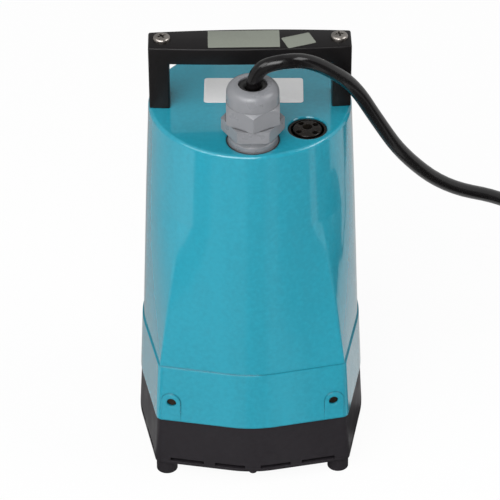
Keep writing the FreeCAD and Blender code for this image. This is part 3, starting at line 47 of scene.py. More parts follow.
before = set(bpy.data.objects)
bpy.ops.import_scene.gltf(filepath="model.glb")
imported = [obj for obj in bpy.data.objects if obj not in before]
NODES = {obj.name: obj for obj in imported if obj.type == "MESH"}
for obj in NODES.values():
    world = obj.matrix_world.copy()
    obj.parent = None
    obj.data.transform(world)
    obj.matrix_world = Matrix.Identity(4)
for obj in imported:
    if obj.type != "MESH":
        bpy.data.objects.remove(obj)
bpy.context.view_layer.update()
HOUSING = "pump_housing"
MM = 0.001


def box(node):
    """Lowest and highest corners of a built part, as vectors in metres."""
    low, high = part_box(node)
    return Vector(low), Vector(high)


def middle(node):
    """Middle of a built part's box."""
    low, high = box(node)
    return (low + high) / 2


SMOOTH_ANGLE = math.radians(35)

# places that the small pieces take from the built parts; the grip stands a little over its solid
GRIP_RISE = 0.0007
LID_TOP = box("motor_housing")[1].z
GRIP_TOP = box("handle")[1].z + GRIP_RISE
AXIS = Vector((0, middle("shaft").y, 0))


# properties that a user would change


class PumpColours(bpy.types.PropertyGroup):
    """Colours of the pump's finishes."""

    enamel: bpy.props.FloatVectorProperty(
        name="Enamel", description="Gloss paint on the motor housing", subtype="COLOR", size=3,
        min=0, max=1, default=(0.018, 0.306, 0.414))
    base_plastic: bpy.props.FloatVectorProperty(
        name="Base plastic", description="Moulded strainer base and feet", subtype="COLOR", size=3,
        min=0, max=1, default=(0.019, 0.0165, 0.0195))
    handle_plastic: bpy.props.FloatVectorProperty(
        name="Handle plastic", description="Moulded carrying handle", subtype="COLOR", size=3,
        min=0, max=1, default=(0.0062, 0.0054, 0.0056))
    gland_nylon: bpy.props.FloatVectorProperty(
        name="Gland nylon", description="Grey cable gland", subtype="COLOR", size=3,
        min=0, max=1, default=(0.214, 0.219, 0.233))
    sheath: bpy.props.FloatVectorProperty(
        name="Cable sheath", description="Rubber sheath of the mains cable", subtype="COLOR", size=3,
        min=0, max=1, default=(0.0042, 0.0037, 0.0039))
    plate_silver: bpy.props.FloatVectorProperty(
        name="Plate silver", description="Bare silver plates on the handle", subtype="COLOR", size=3,
        min=0, max=1, default=(0.27, 0.29, 0.245))
    label_white: bpy.props.FloatVectorProperty(
        name="Label white", description="Bare label on the lid", subtype="COLOR", size=3,
        min=0, max=1, default=(0.95, 0.955, 0.96))


class PumpSizes(bpy.types.PropertyGroup):
    """Sizes of the small pieces that are only dressed on."""

    label_length: bpy.props.FloatProperty(
        name="Label length", description="Length of the label on the lid", default=0.0554, unit="LENGTH")
    label_width: bpy.props.FloatProperty(
        name="Label width", description="Width of the label on the lid", default=0.025, unit="LENGTH")
    label_turn: bpy.props.FloatProperty(
        name="Label turn", description="How far the label is stuck out of square",
        default=math.radians(-1.2), subtype="ANGLE")
    sheet_thickness: bpy.props.FloatProperty(
        name="Plate thickness", description="Thickness of labels and plates", default=0.00018,
        unit="LENGTH")
    cable_diameter: bpy.props.FloatProperty(
        name="Cable diameter", description="Outside diameter of the mains cable", default=0.0082,
        unit="LENGTH")
    cable_length: bpy.props.FloatProperty(
        name="Cable length", description="Real length of the mains cable", default=2.83, unit="LENGTH")


class PumpStage(bpy.types.PropertyGroup):
    """Camera and light."""

    lens: bpy.props.FloatProperty(
        name="Lens", description="Focal length on a 36 mm wide sensor", default=0.2016,
        unit="LENGTH", precision=4)
    pitch: bpy.props.FloatProperty(
        name="Pitch", description="How far the camera looks down", default=math.radians(36.39),
        subtype="ANGLE")
    yaw: bpy.props.FloatProperty(
        name="Yaw", description="How far the camera looks to the right", default=math.radians(0.88),
        subtype="ANGLE")
    roll: bpy.props.FloatProperty(
        name="Roll", description="How far the camera leans", default=math.radians(-0.20), subtype="ANGLE")
    place: bpy.props.FloatVectorProperty(
        name="Camera place", description="Camera from the pump's axis at the lid", size=3,
        subtype="TRANSLATION", default=(-0.0203, -1.3031, 0.8567))
    world_strength: bpy.props.FloatProperty(
        name="Surround light", description="Strength of the even light from all round", default=0.32)


# shader groups that several finishes share


def new_group(name, inputs, outputs):
    """A shader node group with named sockets, built once, and its input and output nodes."""
    group = bpy.data.node_groups.new(name, "ShaderNodeTree")
    for label, kind, value in inputs:
        socket = group.interface.new_socket(name=label, in_out="INPUT", socket_type=kind)
        socket.default_value = value
    for label, kind in outputs:
        group.interface.new_socket(name=label, in_out="OUTPUT", socket_type=kind)
    return group, group.nodes.new("NodeGroupInput"), group.nodes.new("NodeGroupOutput")


def add(tree, kind, **settings):
    """A shader node with its settings."""
    node = tree.nodes.new("ShaderNode" + kind)
    for key, value in settings.items():
        setattr(node, key, value)
    return node


def link(tree, source, target):
    """Join an output socket to an input socket."""
    tree.links.new(source, target)


def blotch_and_shade_group():
    """Slow and fine changes of tone, as paint, moulded plastic and metal show, then painted shade that
    darkens creases, recesses and joints.
    """
    group, into, out = new_group(
        "Blotches and crease shade",
        [("Color", "NodeSocketColor", (0.5, 0.5, 0.5, 1)),
         ("Second Color", "NodeSocketColor", (0.4, 0.4, 0.4, 1)),
         ("Scale", "NodeSocketFloat", 20.0), ("Amount", "NodeSocketFloat", 0.3),
         ("Height Scale", "NodeSocketFloat", 1.0), ("Crease Reach", "NodeSocketFloat", 0.0015),
         ("Crease Tone", "NodeSocketFloat", 0.4)],
        [("Color", "NodeSocketColor")])
    place = add(group, "TexCoord")
    slow = add(group, "TexNoise", noise_dimensions="3D")
    slow.inputs["Detail"].default_value = 6
    fine = add(group, "TexNoise", noise_dimensions="3D")
    fine.inputs["Detail"].default_value = 3
    times = add(group, "Math", operation="MULTIPLY")
    times.inputs[1].default_value = 11
    both = add(group, "Math", operation="MULTIPLY")
    shape = add(group, "MapRange", interpolation_type="SMOOTHSTEP")
    shape.inputs["From Min"].default_value = 0.08
    shape.inputs["From Max"].default_value = 0.45
    reach = add(group, "Math", operation="MULTIPLY")
    mix = add(group, "Mix", data_type="RGBA")
    height = add(group, "CombineXYZ")
    height.inputs["X"].default_value = 1
    height.inputs["Y"].default_value = 1
    drawn = add(group, "VectorMath", operation="MULTIPLY")
    link(group, into.outputs["Height Scale"], height.inputs["Z"])
    link(group, place.outputs["Object"], drawn.inputs[0])
    link(group, height.outputs[0], drawn.inputs[1])
    link(group, drawn.outputs[0], slow.inputs["Vector"])
    link(group, place.outputs["Object"], fine.inputs["Vector"])
    link(group, into.outputs["Scale"], slow.inputs["Scale"])
    link(group, into.outputs["Scale"], times.inputs[0])
    link(group, times.outputs[0], fine.inputs["Scale"])
    link(group, slow.outputs["Fac"], both.inputs[0])
    link(group, fine.outputs["Fac"], both.inputs[1])
    link(group, both.outputs[0], shape.inputs["Value"])
    link(group, shape.outputs[0], reach.inputs[0])
    link(group, into.outputs["Amount"], reach.inputs[1])
    link(group, reach.outputs[0], mix.inputs["Factor"])
    link(group, into.outputs["Color"], mix.inputs["A"])
    link(group, into.outputs["Second Color"], mix.inputs["B"])
    # painted shade: ambient occlusion darkens the colour in creases, recesses and joints between parts,
    # where shade falls
    crease_shade = add(group, "AmbientOcclusion", samples=8)
    depth = add(group, "MapRange")
    depth.inputs["From Min"].default_value = 0.35
    depth.inputs["From Max"].default_value = 0.85
    shaded = add(group, "VectorMath", operation="SCALE")
    link(group, into.outputs["Crease Reach"], crease_shade.inputs["Distance"])
    link(group, into.outputs["Crease Tone"], depth.inputs["To Min"])
    link(group, crease_shade.outputs["AO"], depth.inputs["Value"])
    link(group, mix.outputs["Result"], shaded.inputs[0])
    link(group, depth.outputs[0], shaded.inputs["Scale"])
    link(group, shaded.outputs[0], out.inputs["Color"])
    return group


def sheen_group():
    """Roughness that wanders a little about a middle value, with small rubbed places."""
    group, into, out = new_group(
        "Uneven gloss",
        [("Roughness", "NodeSocketFloat", 0.4), ("Spread", "NodeSocketFloat", 0.08),
         ("Scale", "NodeSocketFloat", 60.0)],
        [("Roughness", "NodeSocketFloat")])
    place = add(group, "TexCoord")
    noise = add(group, "TexNoise", noise_dimensions="3D")
    noise.inputs["Detail"].default_value = 5
    shape = add(group, "MapRange")
    shape.inputs["From Min"].default_value = 0.3
    shape.inputs["From Max"].default_value = 0.7
    low = add(group, "Math", operation="SUBTRACT")
    high = add(group, "Math", operation="ADD")
    link(group, place.outputs["Object"], noise.inputs["Vector"])
    link(group, into.outputs["Scale"], noise.inputs["Scale"])
    link(group, noise.outputs["Fac"], shape.inputs["Value"])
    for node in (low, high):
        link(group, into.outputs["Roughness"], node.inputs[0])
        link(group, into.outputs["Spread"], node.inputs[1])
    link(group, low.outputs[0], shape.inputs["To Min"])
    link(group, high.outputs[0], shape.inputs["To Max"])
    link(group, shape.outputs[0], out.inputs["Roughness"])
    return group


def relief_group():
    """Softened edges with a fine grain on top, as a normal."""
    group, into, out = new_group(
        "Soft edges and grain",
        [("Edge Radius", "NodeSocketFloat", 0.0004), ("Grain Scale", "NodeSocketFloat", 900.0),
         ("Grain Depth", "NodeSocketFloat", 0.1), ("Wave Scale", "NodeSocketFloat", 60.0),
         ("Wave Depth", "NodeSocketFloat", 0.0)],
        [("Normal", "NodeSocketVector")])
    place = add(group, "TexCoord")
    edges = add(group, "Bevel", samples=6)
    grain = add(group, "TexNoise", noise_dimensions="3D")
    grain.inputs["Detail"].default_value = 2
    waves = add(group, "TexNoise", noise_dimensions="3D")
    waves.inputs["Detail"].default_value = 2
    fine = add(group, "Bump")
    fine.inputs["Distance"].default_value = 0.0001
    broad = add(group, "Bump")
    broad.inputs["Distance"].default_value = 0.001
    link(group, into.outputs["Edge Radius"], edges.inputs["Radius"])
    link(group, edges.outputs["Normal"], broad.inputs["Normal"])
    link(group, place.outputs["Object"], waves.inputs["Vector"])
    link(group, into.outputs["Wave Scale"], waves.inputs["Scale"])
    link(group, into.outputs["Wave Depth"], broad.inputs["Strength"])
    link(group, waves.outputs["Fac"], broad.inputs["Height"])
    link(group, place.outputs["Object"], grain.inputs["Vector"])
    link(group, into.outputs["Grain Scale"], grain.inputs["Scale"])
    link(group, into.outputs["Grain Depth"], fine.inputs["Strength"])
    link(group, grain.outputs["Fac"], fine.inputs["Height"])
    link(group, broad.outputs["Normal"], fine.inputs["Normal"])
    link(group, fine.outputs["Normal"], out.inputs["Normal"])
    return group


GROUPS = {}


def shared(name, build):
    """The shader group of that name, built the first time that a finish asks for it."""
    if name not in GROUPS:
        GROUPS[name] = build()
    return GROUPS[name]


def use_group(tree, group, **values):
    """A shader group placed in a material, its sockets set by name."""
    node = tree.nodes.new("ShaderNodeGroup")
    node.node_tree = group
    for key, value in values.items():
        node.inputs[key.replace("_", " ")].default_value = value
    return node


def rgba(colour):
    """A colour with full alpha."""
    return (*colour[:3], 1.0)


def finish(name, colour, second, rough, spread=0.06, scale=25.0, amount=0.5, metallic=0.0, coat=0.0,
           coat_rough=0.06, edge=0.0004, grain=900.0, grain_depth=0.15, wave=60.0, wave_depth=0.0,
           specular=0.5, height_scale=1.0, crease_shade=0.0015, crease_shade_tone=0.4):
    """A finish from the shared groups: tone, gloss and relief that change over the surface, with shade
    painted into its creases and joints.
    """
    material = bpy.data.materials.new(name)
    material.use_nodes = True
    tree = material.node_tree
    shader = tree.nodes["Principled BSDF"]
    shader.inputs["Metallic"].default_value = metallic
    shader.inputs["Coat Weight"].default_value = coat
    shader.inputs["Coat Roughness"].default_value = coat_rough
    shader.inputs["Specular IOR Level"].default_value = specular
    gloss_scale = scale * 3
    tone = use_group(tree, shared("Blotches and crease shade", blotch_and_shade_group), Color=rgba(colour), Second_Color=rgba(second),
                     Scale=scale, Amount=amount, Height_Scale=height_scale, Crease_Reach=crease_shade,
                     Crease_Tone=crease_shade_tone)
    gloss = use_group(tree, shared("Uneven gloss", sheen_group), Roughness=rough, Spread=spread,
                      Scale=gloss_scale)
    relief = use_group(tree, shared("Soft edges and grain", relief_group), Edge_Radius=edge,
                       Grain_Scale=grain, Grain_Depth=grain_depth, Wave_Scale=wave, Wave_Depth=wave_depth)
    link(tree, tone.outputs["Color"], shader.inputs["Base Color"])
    link(tree, gloss.outputs["Roughness"], shader.inputs["Roughness"])
    link(tree, relief.outputs["Normal"], shader.inputs["Normal"])
    material.diffuse_color = rgba(colour)
    return material


def scaled(colour, share):
    """A colour made darker, or lighter with a share above one."""
    return tuple(value * share for value in colour[:3])


FINISHES = {}


def finish_named(name):
    """One finish of the pump by its name; colours come from the panel's settings."""
    if name in FINISHES:
        return FINISHES[name]
    colours = bpy.context.scene.pump_colours
    blue, base, black = colours.enamel, colours.base_plastic, colours.handle_plastic
    grey, sheath = colours.gland_nylon, colours.sheath
    silver, white = colours.plate_silver, colours.label_white
    steel, brass, copper = (0.42, 0.39, 0.36), (0.13, 0.085, 0.06), (0.55, 0.22, 0.09)
    settings = {
        "blue enamel": dict(colour=blue, second=scaled(blue, 0.82), rough=0.2, spread=0.05, scale=38,
                            height_scale=0.07, amount=0.75, specular=0.35, coat=0.9, coat_rough=0.035,
                            edge=0.0016, grain=700, grain_depth=0.02, wave=45, wave_depth=0.05),
        "base plastic": dict(colour=base, second=scaled(base, 1.5), rough=0.45, scale=30, amount=0.4,
                             specular=0.22, edge=0.0005, grain=1100, grain_depth=0.35),
        "handle plastic": dict(colour=black, second=scaled(black, 1.8), rough=0.38, scale=28, amount=0.4,
                               specular=0.24, edge=0.0006, grain=1200, grain_depth=0.3),
        "gland nylon": dict(colour=grey, second=scaled(grey, 0.88), rough=0.3, scale=35, amount=0.05,
                            edge=0.0006, grain=1300, grain_depth=0.2),
        "cable sheath": dict(colour=sheath, second=scaled(sheath, 1.8), rough=0.26, spread=0.05, scale=40,
                             amount=0.4, specular=0.2, coat=0.45, coat_rough=0.05, edge=0.0002, grain=1500,
                             grain_depth=0.25, wave=120, wave_depth=0.05),
        "seal rubber": dict(colour=(0.010, 0.010, 0.010), second=(0.02, 0.02, 0.02), rough=0.5, scale=60,
                            grain=1500, grain_depth=0.3),
        # the switch face takes deeper painted shade in its recess and holes, over a wider reach
        "switch plastic": dict(colour=(0.007, 0.006, 0.0055), second=(0.03, 0.024, 0.018), rough=0.25,
                               specular=0.25, scale=90, amount=0.7, edge=0.0003, crease_shade=0.003,
                               crease_shade_tone=0.1, grain=1600, grain_depth=0.4),
        "zinc plate": dict(colour=steel, second=scaled(steel, 0.6), rough=0.34, spread=0.1, scale=120,
                           amount=0.6, metallic=1.0, edge=0.0003, grain=1800, grain_depth=0.35),
        "dull brass": dict(colour=brass, second=scaled(brass, 0.55), rough=0.42, spread=0.1, scale=140,
                           amount=0.7, metallic=1.0, edge=0.0002, grain=1800, grain_depth=0.3),
        "ground steel": dict(colour=(0.56, 0.55, 0.54), second=(0.4, 0.39, 0.38), rough=0.22, scale=90,
                             metallic=1.0, edge=0.0002, grain=2200, grain_depth=0.2),
        "cast aluminium": dict(colour=(0.5, 0.5, 0.51), second=(0.36, 0.36, 0.37), rough=0.5, scale=60,
                               metallic=1.0, edge=0.0005, grain=800, grain_depth=0.8),
        "stacked steel": dict(colour=(0.3, 0.29, 0.28), second=(0.2, 0.18, 0.17), rough=0.45, scale=50,
                              metallic=1.0, edge=0.0002, grain=2500, grain_depth=0.5),
        "winding wire": dict(colour=copper, second=scaled(copper, 0.6), rough=0.35, scale=80, amount=0.7,
                             metallic=0.8, edge=0.0006, grain=600, grain_depth=1.0),
        "white plastic": dict(colour=(0.66, 0.66, 0.63), second=(0.52, 0.52, 0.49), rough=0.4, scale=40,
                              grain=1200, grain_depth=0.25),
        "filled plastic": dict(colour=(0.035, 0.035, 0.038), second=(0.06, 0.06, 0.06), rough=0.48, scale=60,
                               grain=1000, grain_depth=0.5),
        "seal ceramic": dict(colour=(0.62, 0.6, 0.55), second=(0.5, 0.48, 0.44), rough=0.15, scale=60,
                             grain=2000, grain_depth=0.05),
        "seal carbon": dict(colour=(0.02, 0.02, 0.02), second=(0.035, 0.035, 0.035), rough=0.3, scale=80,
                            grain=2000, grain_depth=0.1),
        "plate silver": dict(colour=silver, second=scaled(silver, 0.85), rough=0.36, scale=60, amount=0.4,
                             metallic=0.25, edge=0.0001, grain=2600, grain_depth=0.15),
        "label film": dict(colour=white, second=scaled(white, 0.9), rough=0.2, scale=45, amount=0.4,
                           metallic=0.35, edge=0.0001, grain=2200, grain_depth=0.08),
    }
    FINISHES[name] = finish(name, **settings[name])
    return FINISHES[name]


def dress(node, finish_name):
    """Give a built part its finish."""
    part = NODES[node]
    part.data.materials.clear()
    part.data.materials.append(finish_named(finish_name))
    for polygon in part.data.polygons:
        polygon.material_index = 0


def new_piece(name, mesh_maker, finish_name):
    """A dressed-on piece made by bmesh code, riding on the housing."""
    mesh = bpy.data.meshes.new(name)
    shape = bmesh.new()
    mesh_maker(shape)
    bmesh.ops.recalc_face_normals(shape, faces=shape.faces)
    shape.to_mesh(mesh)
    shape.free()
    mesh.materials.append(finish_named(finish_name))
    mesh.shade_smooth()
    mesh.set_sharp_from_angle(angle=SMOOTH_ANGLE)
    piece = bpy.data.objects.new(name, mesh)
    bpy.context.scene.collection.objects.link(piece)
    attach(piece, HOUSING)
    return piece


def rounded_plan(length, width, corner, steps=6):
    """Points round a rectangle with rounded corners, anticlockwise."""
    points = []
    for turn, (sx, sy) in enumerate(((1, 1), (-1, 1), (-1, -1), (1, -1))):
        for step in range(steps + 1):
            angle = math.pi / 2 * (turn + step / steps)
            points.append(Vector((sx * (length / 2 - corner) + corner * math.cos(angle),
                                  sy * (width / 2 - corner) + corner * math.sin(angle), 0)))
    return points


def bridge(shape, lower, upper):
    """Faces between two rings with the same number of vertices."""
    count = len(lower)
    for i in range(count):
        j = (i + 1) % count
        shape.faces.new((lower[i], lower[j], upper[j], upper[i]))


def skin(shape, rings):
    """Faces from each ring of vertices to the next."""
    for lower, upper in zip(rings, rings[1:]):
        bridge(shape, lower, upper)


def close_ends(shape, rings):
    """A face over the last ring and one under the first."""
    shape.faces.new(rings[-1])
    shape.faces.new(list(reversed(rings[0])))


def slab(shape, outline, place, thickness):
    """A thin plate with the given plan, its upper edge drawn in a little."""
    upright = 0.6
    inset = 1 - 2 * thickness / max(point.length for point in outline)
    rings = []
    for height, scale in ((0, 1), (thickness * upright, 1), (thickness, inset)):
        rings.append([shape.verts.new(place @ Vector((point.x * scale, point.y * scale, height)))
                      for point in outline])
    skin(shape, rings)
    close_ends(shape, rings)


def lathe(shape, profile, place, steps=48):
    """Turn (radius, height) points about the local z axis, with both ends open."""
    rings = []
    for radius, height in profile:
        ring = []
        for step in range(steps):
            angle = 2 * math.pi * step / steps
            spot = Vector((radius * math.cos(angle), radius * math.sin(angle), height))
            ring.append(shape.verts.new(place @ spot))
        rings.append(ring)
    skin(shape, rings)
    return rings


class PUMP_OT_housing(bpy.types.Operator):
    """Paints the motor housing and finishes the base with its plate and cover"""

    bl_idname = "pump.housing"
    bl_label = "Housing and base"

    def execute(self, context):
        dress("motor_housing", "blue enamel")
        for node in ("base_shell", "bottom_plate", "volute_cover"):
            dress(node, "base plastic")
        return {"FINISHED"}


def arch(shape, stations, inner, edges, levels):
    """A bar on two legs: plan edges at stations along it, and heights of its foot, opening and top."""
    made = {}

    def corner(i, side, level):
        if (i, side, level) not in made:
            made[i, side, level] = shape.verts.new((stations[i], edges(stations[i])[side], levels[level]))
        return made[i, side, level]

    for i, (x, following) in enumerate(zip(stations, stations[1:])):
        lowest = 0 if following <= inner[0] or x >= inner[1] else 1
        for level in range(lowest, 2):
            for side in (0, 1):
                shape.faces.new((corner(i, side, level), corner(i + 1, side, level),
                                 corner(i + 1, side, level + 1), corner(i, side, level + 1)))
        for level in (lowest, 2):
            shape.faces.new((corner(i, 0, level), corner(i + 1, 0, level), corner(i + 1, 1, level),
                             corner(i, 1, level)))
    ends = ((0, 2), (stations.index(inner[0]), 1), (stations.index(inner[1]), 1), (len(stations) - 1, 2))
    for i, reach in ends:
        for level in range(reach):
            shape.faces.new((corner(i, 0, level), corner(i, 1, level), corner(i, 1, level + 1),
                             corner(i, 0, level + 1)))


class PUMP_OT_handle(bpy.types.Operator):
    """Makes the bowed carrying handle with its rounded edges"""

    bl_idname = "pump.handle"
    bl_label = "Carrying handle"

    def execute(self, context):
        low, high = box("handle")
        centre = (low + high) / 2
        half = (high.x - low.x) / 2
        end_depth = 0.0158
        back_swell = 0.001
        bar_height = 0.0105
        left_leg, right_leg = 0.0114, 0.0104
        left_station, right_station = 0.0055, 0.005
        rounding = 0.0011
        sharp_angle = 0.5
        foot_margin = 0.0001
        bow = (high.y - low.y - end_depth) / 2
        inner = (centre.x - half + left_leg, centre.x + half - right_leg)
        steps = 20
        # places along the bar where its bowed edges are worked out, one of them within each leg
        stations = [centre.x - half, centre.x - half + left_station]
        stations += [inner[0] + (inner[1] - inner[0]) * step / steps for step in range(steps)]
        stations += [inner[1], centre.x + half - right_station, centre.x + half]

        def edges(x):
            reach = end_depth / 2 + bow * (1 - ((x - centre.x) / half) ** 2)
            return centre.y - reach, centre.y + reach + back_swell

        def make(shape):
            arch(shape, stations, inner, edges, (low.z, GRIP_TOP - bar_height, GRIP_TOP))
            bmesh.ops.recalc_face_normals(shape, faces=shape.faces)
            sharp = [edge for edge in shape.edges if edge.calc_face_angle(0) > sharp_angle
                     and max(vertex.co.z for vertex in edge.verts) > low.z + foot_margin]
            bmesh.ops.bevel(shape, geom=sharp, offset=rounding, segments=3, profile=0.5, affect="EDGES",
                            clamp_overlap=True)

        piece = new_piece("grip", make, "handle plastic")
        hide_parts("handle")
        return {"FINISHED"}


class PUMP_OT_works(bpy.types.Operator):
    """Finishes the motor, shaft, impeller, seals and bearings inside"""

    bl_idname = "pump.works"
    bl_label = "Works inside"

    def execute(self, context):
        finishes = {
            "ground steel": ("shaft", "lower_bearing_outer", "lower_bearing_inner", "upper_bearing_outer",
                             "upper_bearing_inner"),
            "cast aluminium": ("bearing_plate", "upper_bracket", "rotor_end_rings"),
            "stacked steel": ("stator_core", "rotor_core"),
            "winding wire": ("stator_windings",),
            "filled plastic": ("impeller",),
            "zinc plate": ("plate_screws", "bearing_plate_screws", "bracket_screws", "impeller_nut",
                           "seal_collar", "seal_spring"),
            "seal ceramic": ("seal_seat",),
            "seal carbon": ("seal_face",),
            "seal rubber": ("housing_seal", "switch_diaphragm"),
            "white plastic": ("capacitor", "switch_plunger"),
            "switch plastic": ("pressure_switch",),
        }
        for finish_name, nodes in finishes.items():
            for node in nodes:
                dress(node, finish_name)
        return {"FINISHED"}


class PUMP_OT_gland(bpy.types.Operator):
    """Finishes the cable gland and its seal, and lays a dark rubber gasket round its foot that also stands
    in for the shade in the gap there
    """

    bl_idname = "pump.gland"
    bl_label = "Cable gland"

    def execute(self, context):
        for node in ("gland_washer", "gland_body", "gland_nut", "gland_claw"):
            dress(node, "gland nylon")
        dress("gland_seal", "seal rubber")
        low, high = box("gland_washer")
        centre = (low + high) / 2
        clearance = 0.00003
        width, thickness = 0.001, 0.0008
        upright = 0.0003
        inner = (high.x - low.x) / 2 + clearance
        outer = inner + width
        seal = [(inner, 0), (outer, 0), (outer, upright), (inner + width / 2, thickness),
                (inner, thickness)]
        place = Matrix.Translation((centre.x, centre.y, low.z))

        # dark rubber ring in the groove round the washer: a gasket that also stands in for the shade of that
        # gap
        def make(shape):
            rings = lathe(shape, seal, place, steps=64)
            bridge(shape, rings[-1], rings[0])

        new_piece("gland_gasket_and_gap_shade", make, "seal rubber")
        dress("cable_entry", "cable sheath")
        return {"FINISHED"}


def lay_sheet(name, plan, place, turn, finish_name):
    """A thin bare sheet with the given plan, laid flat at a place and turned."""
    thickness = bpy.context.scene.pump_sizes.sheet_thickness
    spot = Matrix.Translation(place) @ Matrix.Rotation(turn, 4, "Z")
    new_piece(name, lambda shape: slab(shape, plan, spot, thickness), finish_name)


class PUMP_OT_plates(bpy.types.Operator):
    """Lays the bare label on the lid and the bare plates on the handle's bar"""

    bl_idname = "pump.plates"
    bl_label = "Label and plates"

    def execute(self, context):
        sizes = context.scene.pump_sizes
        label_place = AXIS + Vector((0.0022, 0.0095, LID_TOP))
        label_corner = 0.0018
        label_plan = rounded_plan(sizes.label_length, sizes.label_width, label_corner)
        lay_sheet("lid_label", label_plan, label_place, sizes.label_turn, "label film")

        bar = AXIS + Vector((0, 0.0012, GRIP_TOP))
        long_place, long_turn = bar + Vector((-0.0033, 0.0003, 0)), 0
        long_size, long_corner = (0.0394, 0.0172), 0.0003
        long_plan = rounded_plan(*long_size, long_corner, 2)
        lay_sheet("bar_plate", long_plan, long_place, long_turn, "plate silver")

        short_place, short_turn = bar + Vector((0.0268, -0.0018, 0)), math.radians(20)
        short_size, short_corner = (0.0164, 0.0112), 0.0008
        short_plan = rounded_plan(*short_size, short_corner, 3)
        lay_sheet("end_plate", short_plan, short_place, short_turn, "plate silver")
        return {"FINISHED"}


def pan_head(shape, place, radius, height, slot_width, slot_depth):
    """A domed screw head with a cross recess; its places are shares of its radius and height."""
    foot, foot_height = 0.94, 0.12
    shoulder, dome_rise, crown = 0.42, 0.5, 0.97
    flat, dome_reach = 0.62, 0.38
    cross_reach = 0.52
    steps = 6
    profile = [(radius * foot, 0), (radius, height * foot_height), (radius, height * shoulder)]
    for step in range(1, steps):
        angle = math.pi / 2 * step / steps
        profile.append((radius * (flat + dome_reach * math.cos(angle)),
                        height * (shoulder + dome_rise * math.sin(angle))))
    lathe_with_cross(shape, profile, place, radius * cross_reach, height * crown, slot_width, slot_depth)


def lathe_with_cross(shape, profile, place, reach, top, width, depth):
    """A turned side closed by a flat top that has a tapering cross sunk into it."""
    taper_along, taper_across = 0.6, 0.75
    rings = lathe(shape, profile, place)
    half = width / 2
    arms = []
    for quarter in range(4):
        turn = Matrix.Rotation(math.pi / 2 * quarter, 3, "Z")
        corners = (Vector((reach, -half, 0)), Vector((reach, half, 0)), Vector((half, half, 0)))
        arms += [turn @ corner for corner in corners]
    rim = [shape.verts.new(place @ Vector((arm.x, arm.y, top))) for arm in arms]
    bottom = [shape.verts.new(place @ Vector((arm.x * taper_along, arm.y * taper_across, top - depth)))
              for arm in arms]
    bridge(shape, bottom, rim)
    shape.faces.new(bottom)
    join_loops(shape, rings[-1], rim)
    shape.faces.new(list(reversed(rings[0])))


def join_loops(shape, *loops):
    """Fill the flat face between an outer closed loop of vertices and the loops within it."""
    edges = []
    for loop in loops:
        for i, vertex in enumerate(loop):
            other = loop[(i + 1) % len(loop)]
            edge = shape.edges.get((vertex, other)) or shape.edges.new((vertex, other))
            edges.append(edge)
    bmesh.ops.triangle_fill(shape, use_beauty=True, use_dissolve=False, edges=edges)


def circle(shape, centre, radius, height, steps=24):
    """A closed loop of vertices round a point."""
    return [shape.verts.new((centre.x + radius * math.cos(2 * math.pi * step / steps),
                             centre.y + radius * math.sin(2 * math.pi * step / steps), height))
            for step in range(steps)]


class PUMP_OT_switch(bpy.types.Operator):
    """Makes the recessed, drilled face over the pressure switch"""

    bl_idname = "pump.switch"
    bl_label = "Pressure switch face"

    def execute(self, context):
        low, high = box("switch_ring")
        centre = (low + high) / 2
        outer = (high.x - low.x) / 2
        lip_width, gap = 0.0012, 0.0014
        face_drop, lip_drop = 0.0003, 0.0007
        edge_break = 0.0003
        floor_thickness = 0.0002
        middle_place, middle_radius = Vector((0, 0.0016, 0)), 0.0027
        key_turns, key_reach, key_radius = (39, 125, 214, 314), 0.0058, 0.0016
        wall = outer - lip_width
        disc = wall - gap
        face = LID_TOP - face_drop
        lip = face - lip_drop
        well = low.z + floor_thickness
        holes = [(middle_place, middle_radius)]
        for turn in key_turns:
            angle = math.radians(turn)
            key_place = Vector((key_reach * math.cos(angle), key_reach * math.sin(angle), 0))
            holes.append((key_place, key_radius))

        def make(shape):
            profile = ((outer, low.z), (outer, lip), (wall, lip), (wall, well), (disc, well),
                       (disc, face - edge_break), (disc - edge_break, face))
            rings = [circle(shape, centre, radius, height, 64) for radius, height in profile]
            skin(shape, rings)
            rims = []
            for place, radius in holes:
                rim = circle(shape, centre + place, radius, face)
                floor = circle(shape, centre + place, radius, well)
                bridge(shape, floor, rim)
                shape.faces.new(floor)
                rims.append(rim)
            join_loops(shape, rings[-1], *rims)
            shape.faces.new(list(reversed(rings[0])))

        piece = new_piece("switch_face", make, "switch plastic")
        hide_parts("switch_ring")
        return {"FINISHED"}


def coil(shape, centre, radius, wire, turns, low, high):
    """A wound spring of round wire between two heights."""
    steps, sides = 32, 8
    climb = (high - low - 2 * wire) / turns
    rings = []
    for step in range(turns * steps + 1):
        angle = 2 * math.pi * step / steps
        outward = Vector((math.cos(angle), math.sin(angle), 0))
        along = Vector((-math.sin(angle), math.cos(angle), climb / (2 * math.pi * radius))).normalized()
        across = along.cross(outward)
        spot = Vector((centre.x, centre.y, low + wire + climb * step / steps)) + outward * radius
        rings.append([shape.verts.new(spot + (outward * math.cos(2 * math.pi * side / sides)
                                              + across * math.sin(2 * math.pi * side / sides)) * wire)
                      for side in range(sides)])
    skin(shape, rings)
    close_ends(shape, rings)


class PUMP_OT_spring(bpy.types.Operator):
    """Winds the pressure switch's spring as a rigid coil"""

    bl_idname = "pump.spring"
    bl_label = "Pressure switch spring"

    def execute(self, context):
        low, high = box("switch_spring")
        wire = 0.00045
        turns = 3
        radius = (high.x - low.x) / 2 - wire
        centre = Vector((middle("switch_spring").x, middle("switch_plunger").y, 0))

        def make(shape):
            coil(shape, centre, radius, wire, turns, low.z, high.z)

        piece = new_piece("return_spring", make, "zinc plate")
        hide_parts("switch_spring")
        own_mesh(piece)
        return {"FINISHED"}


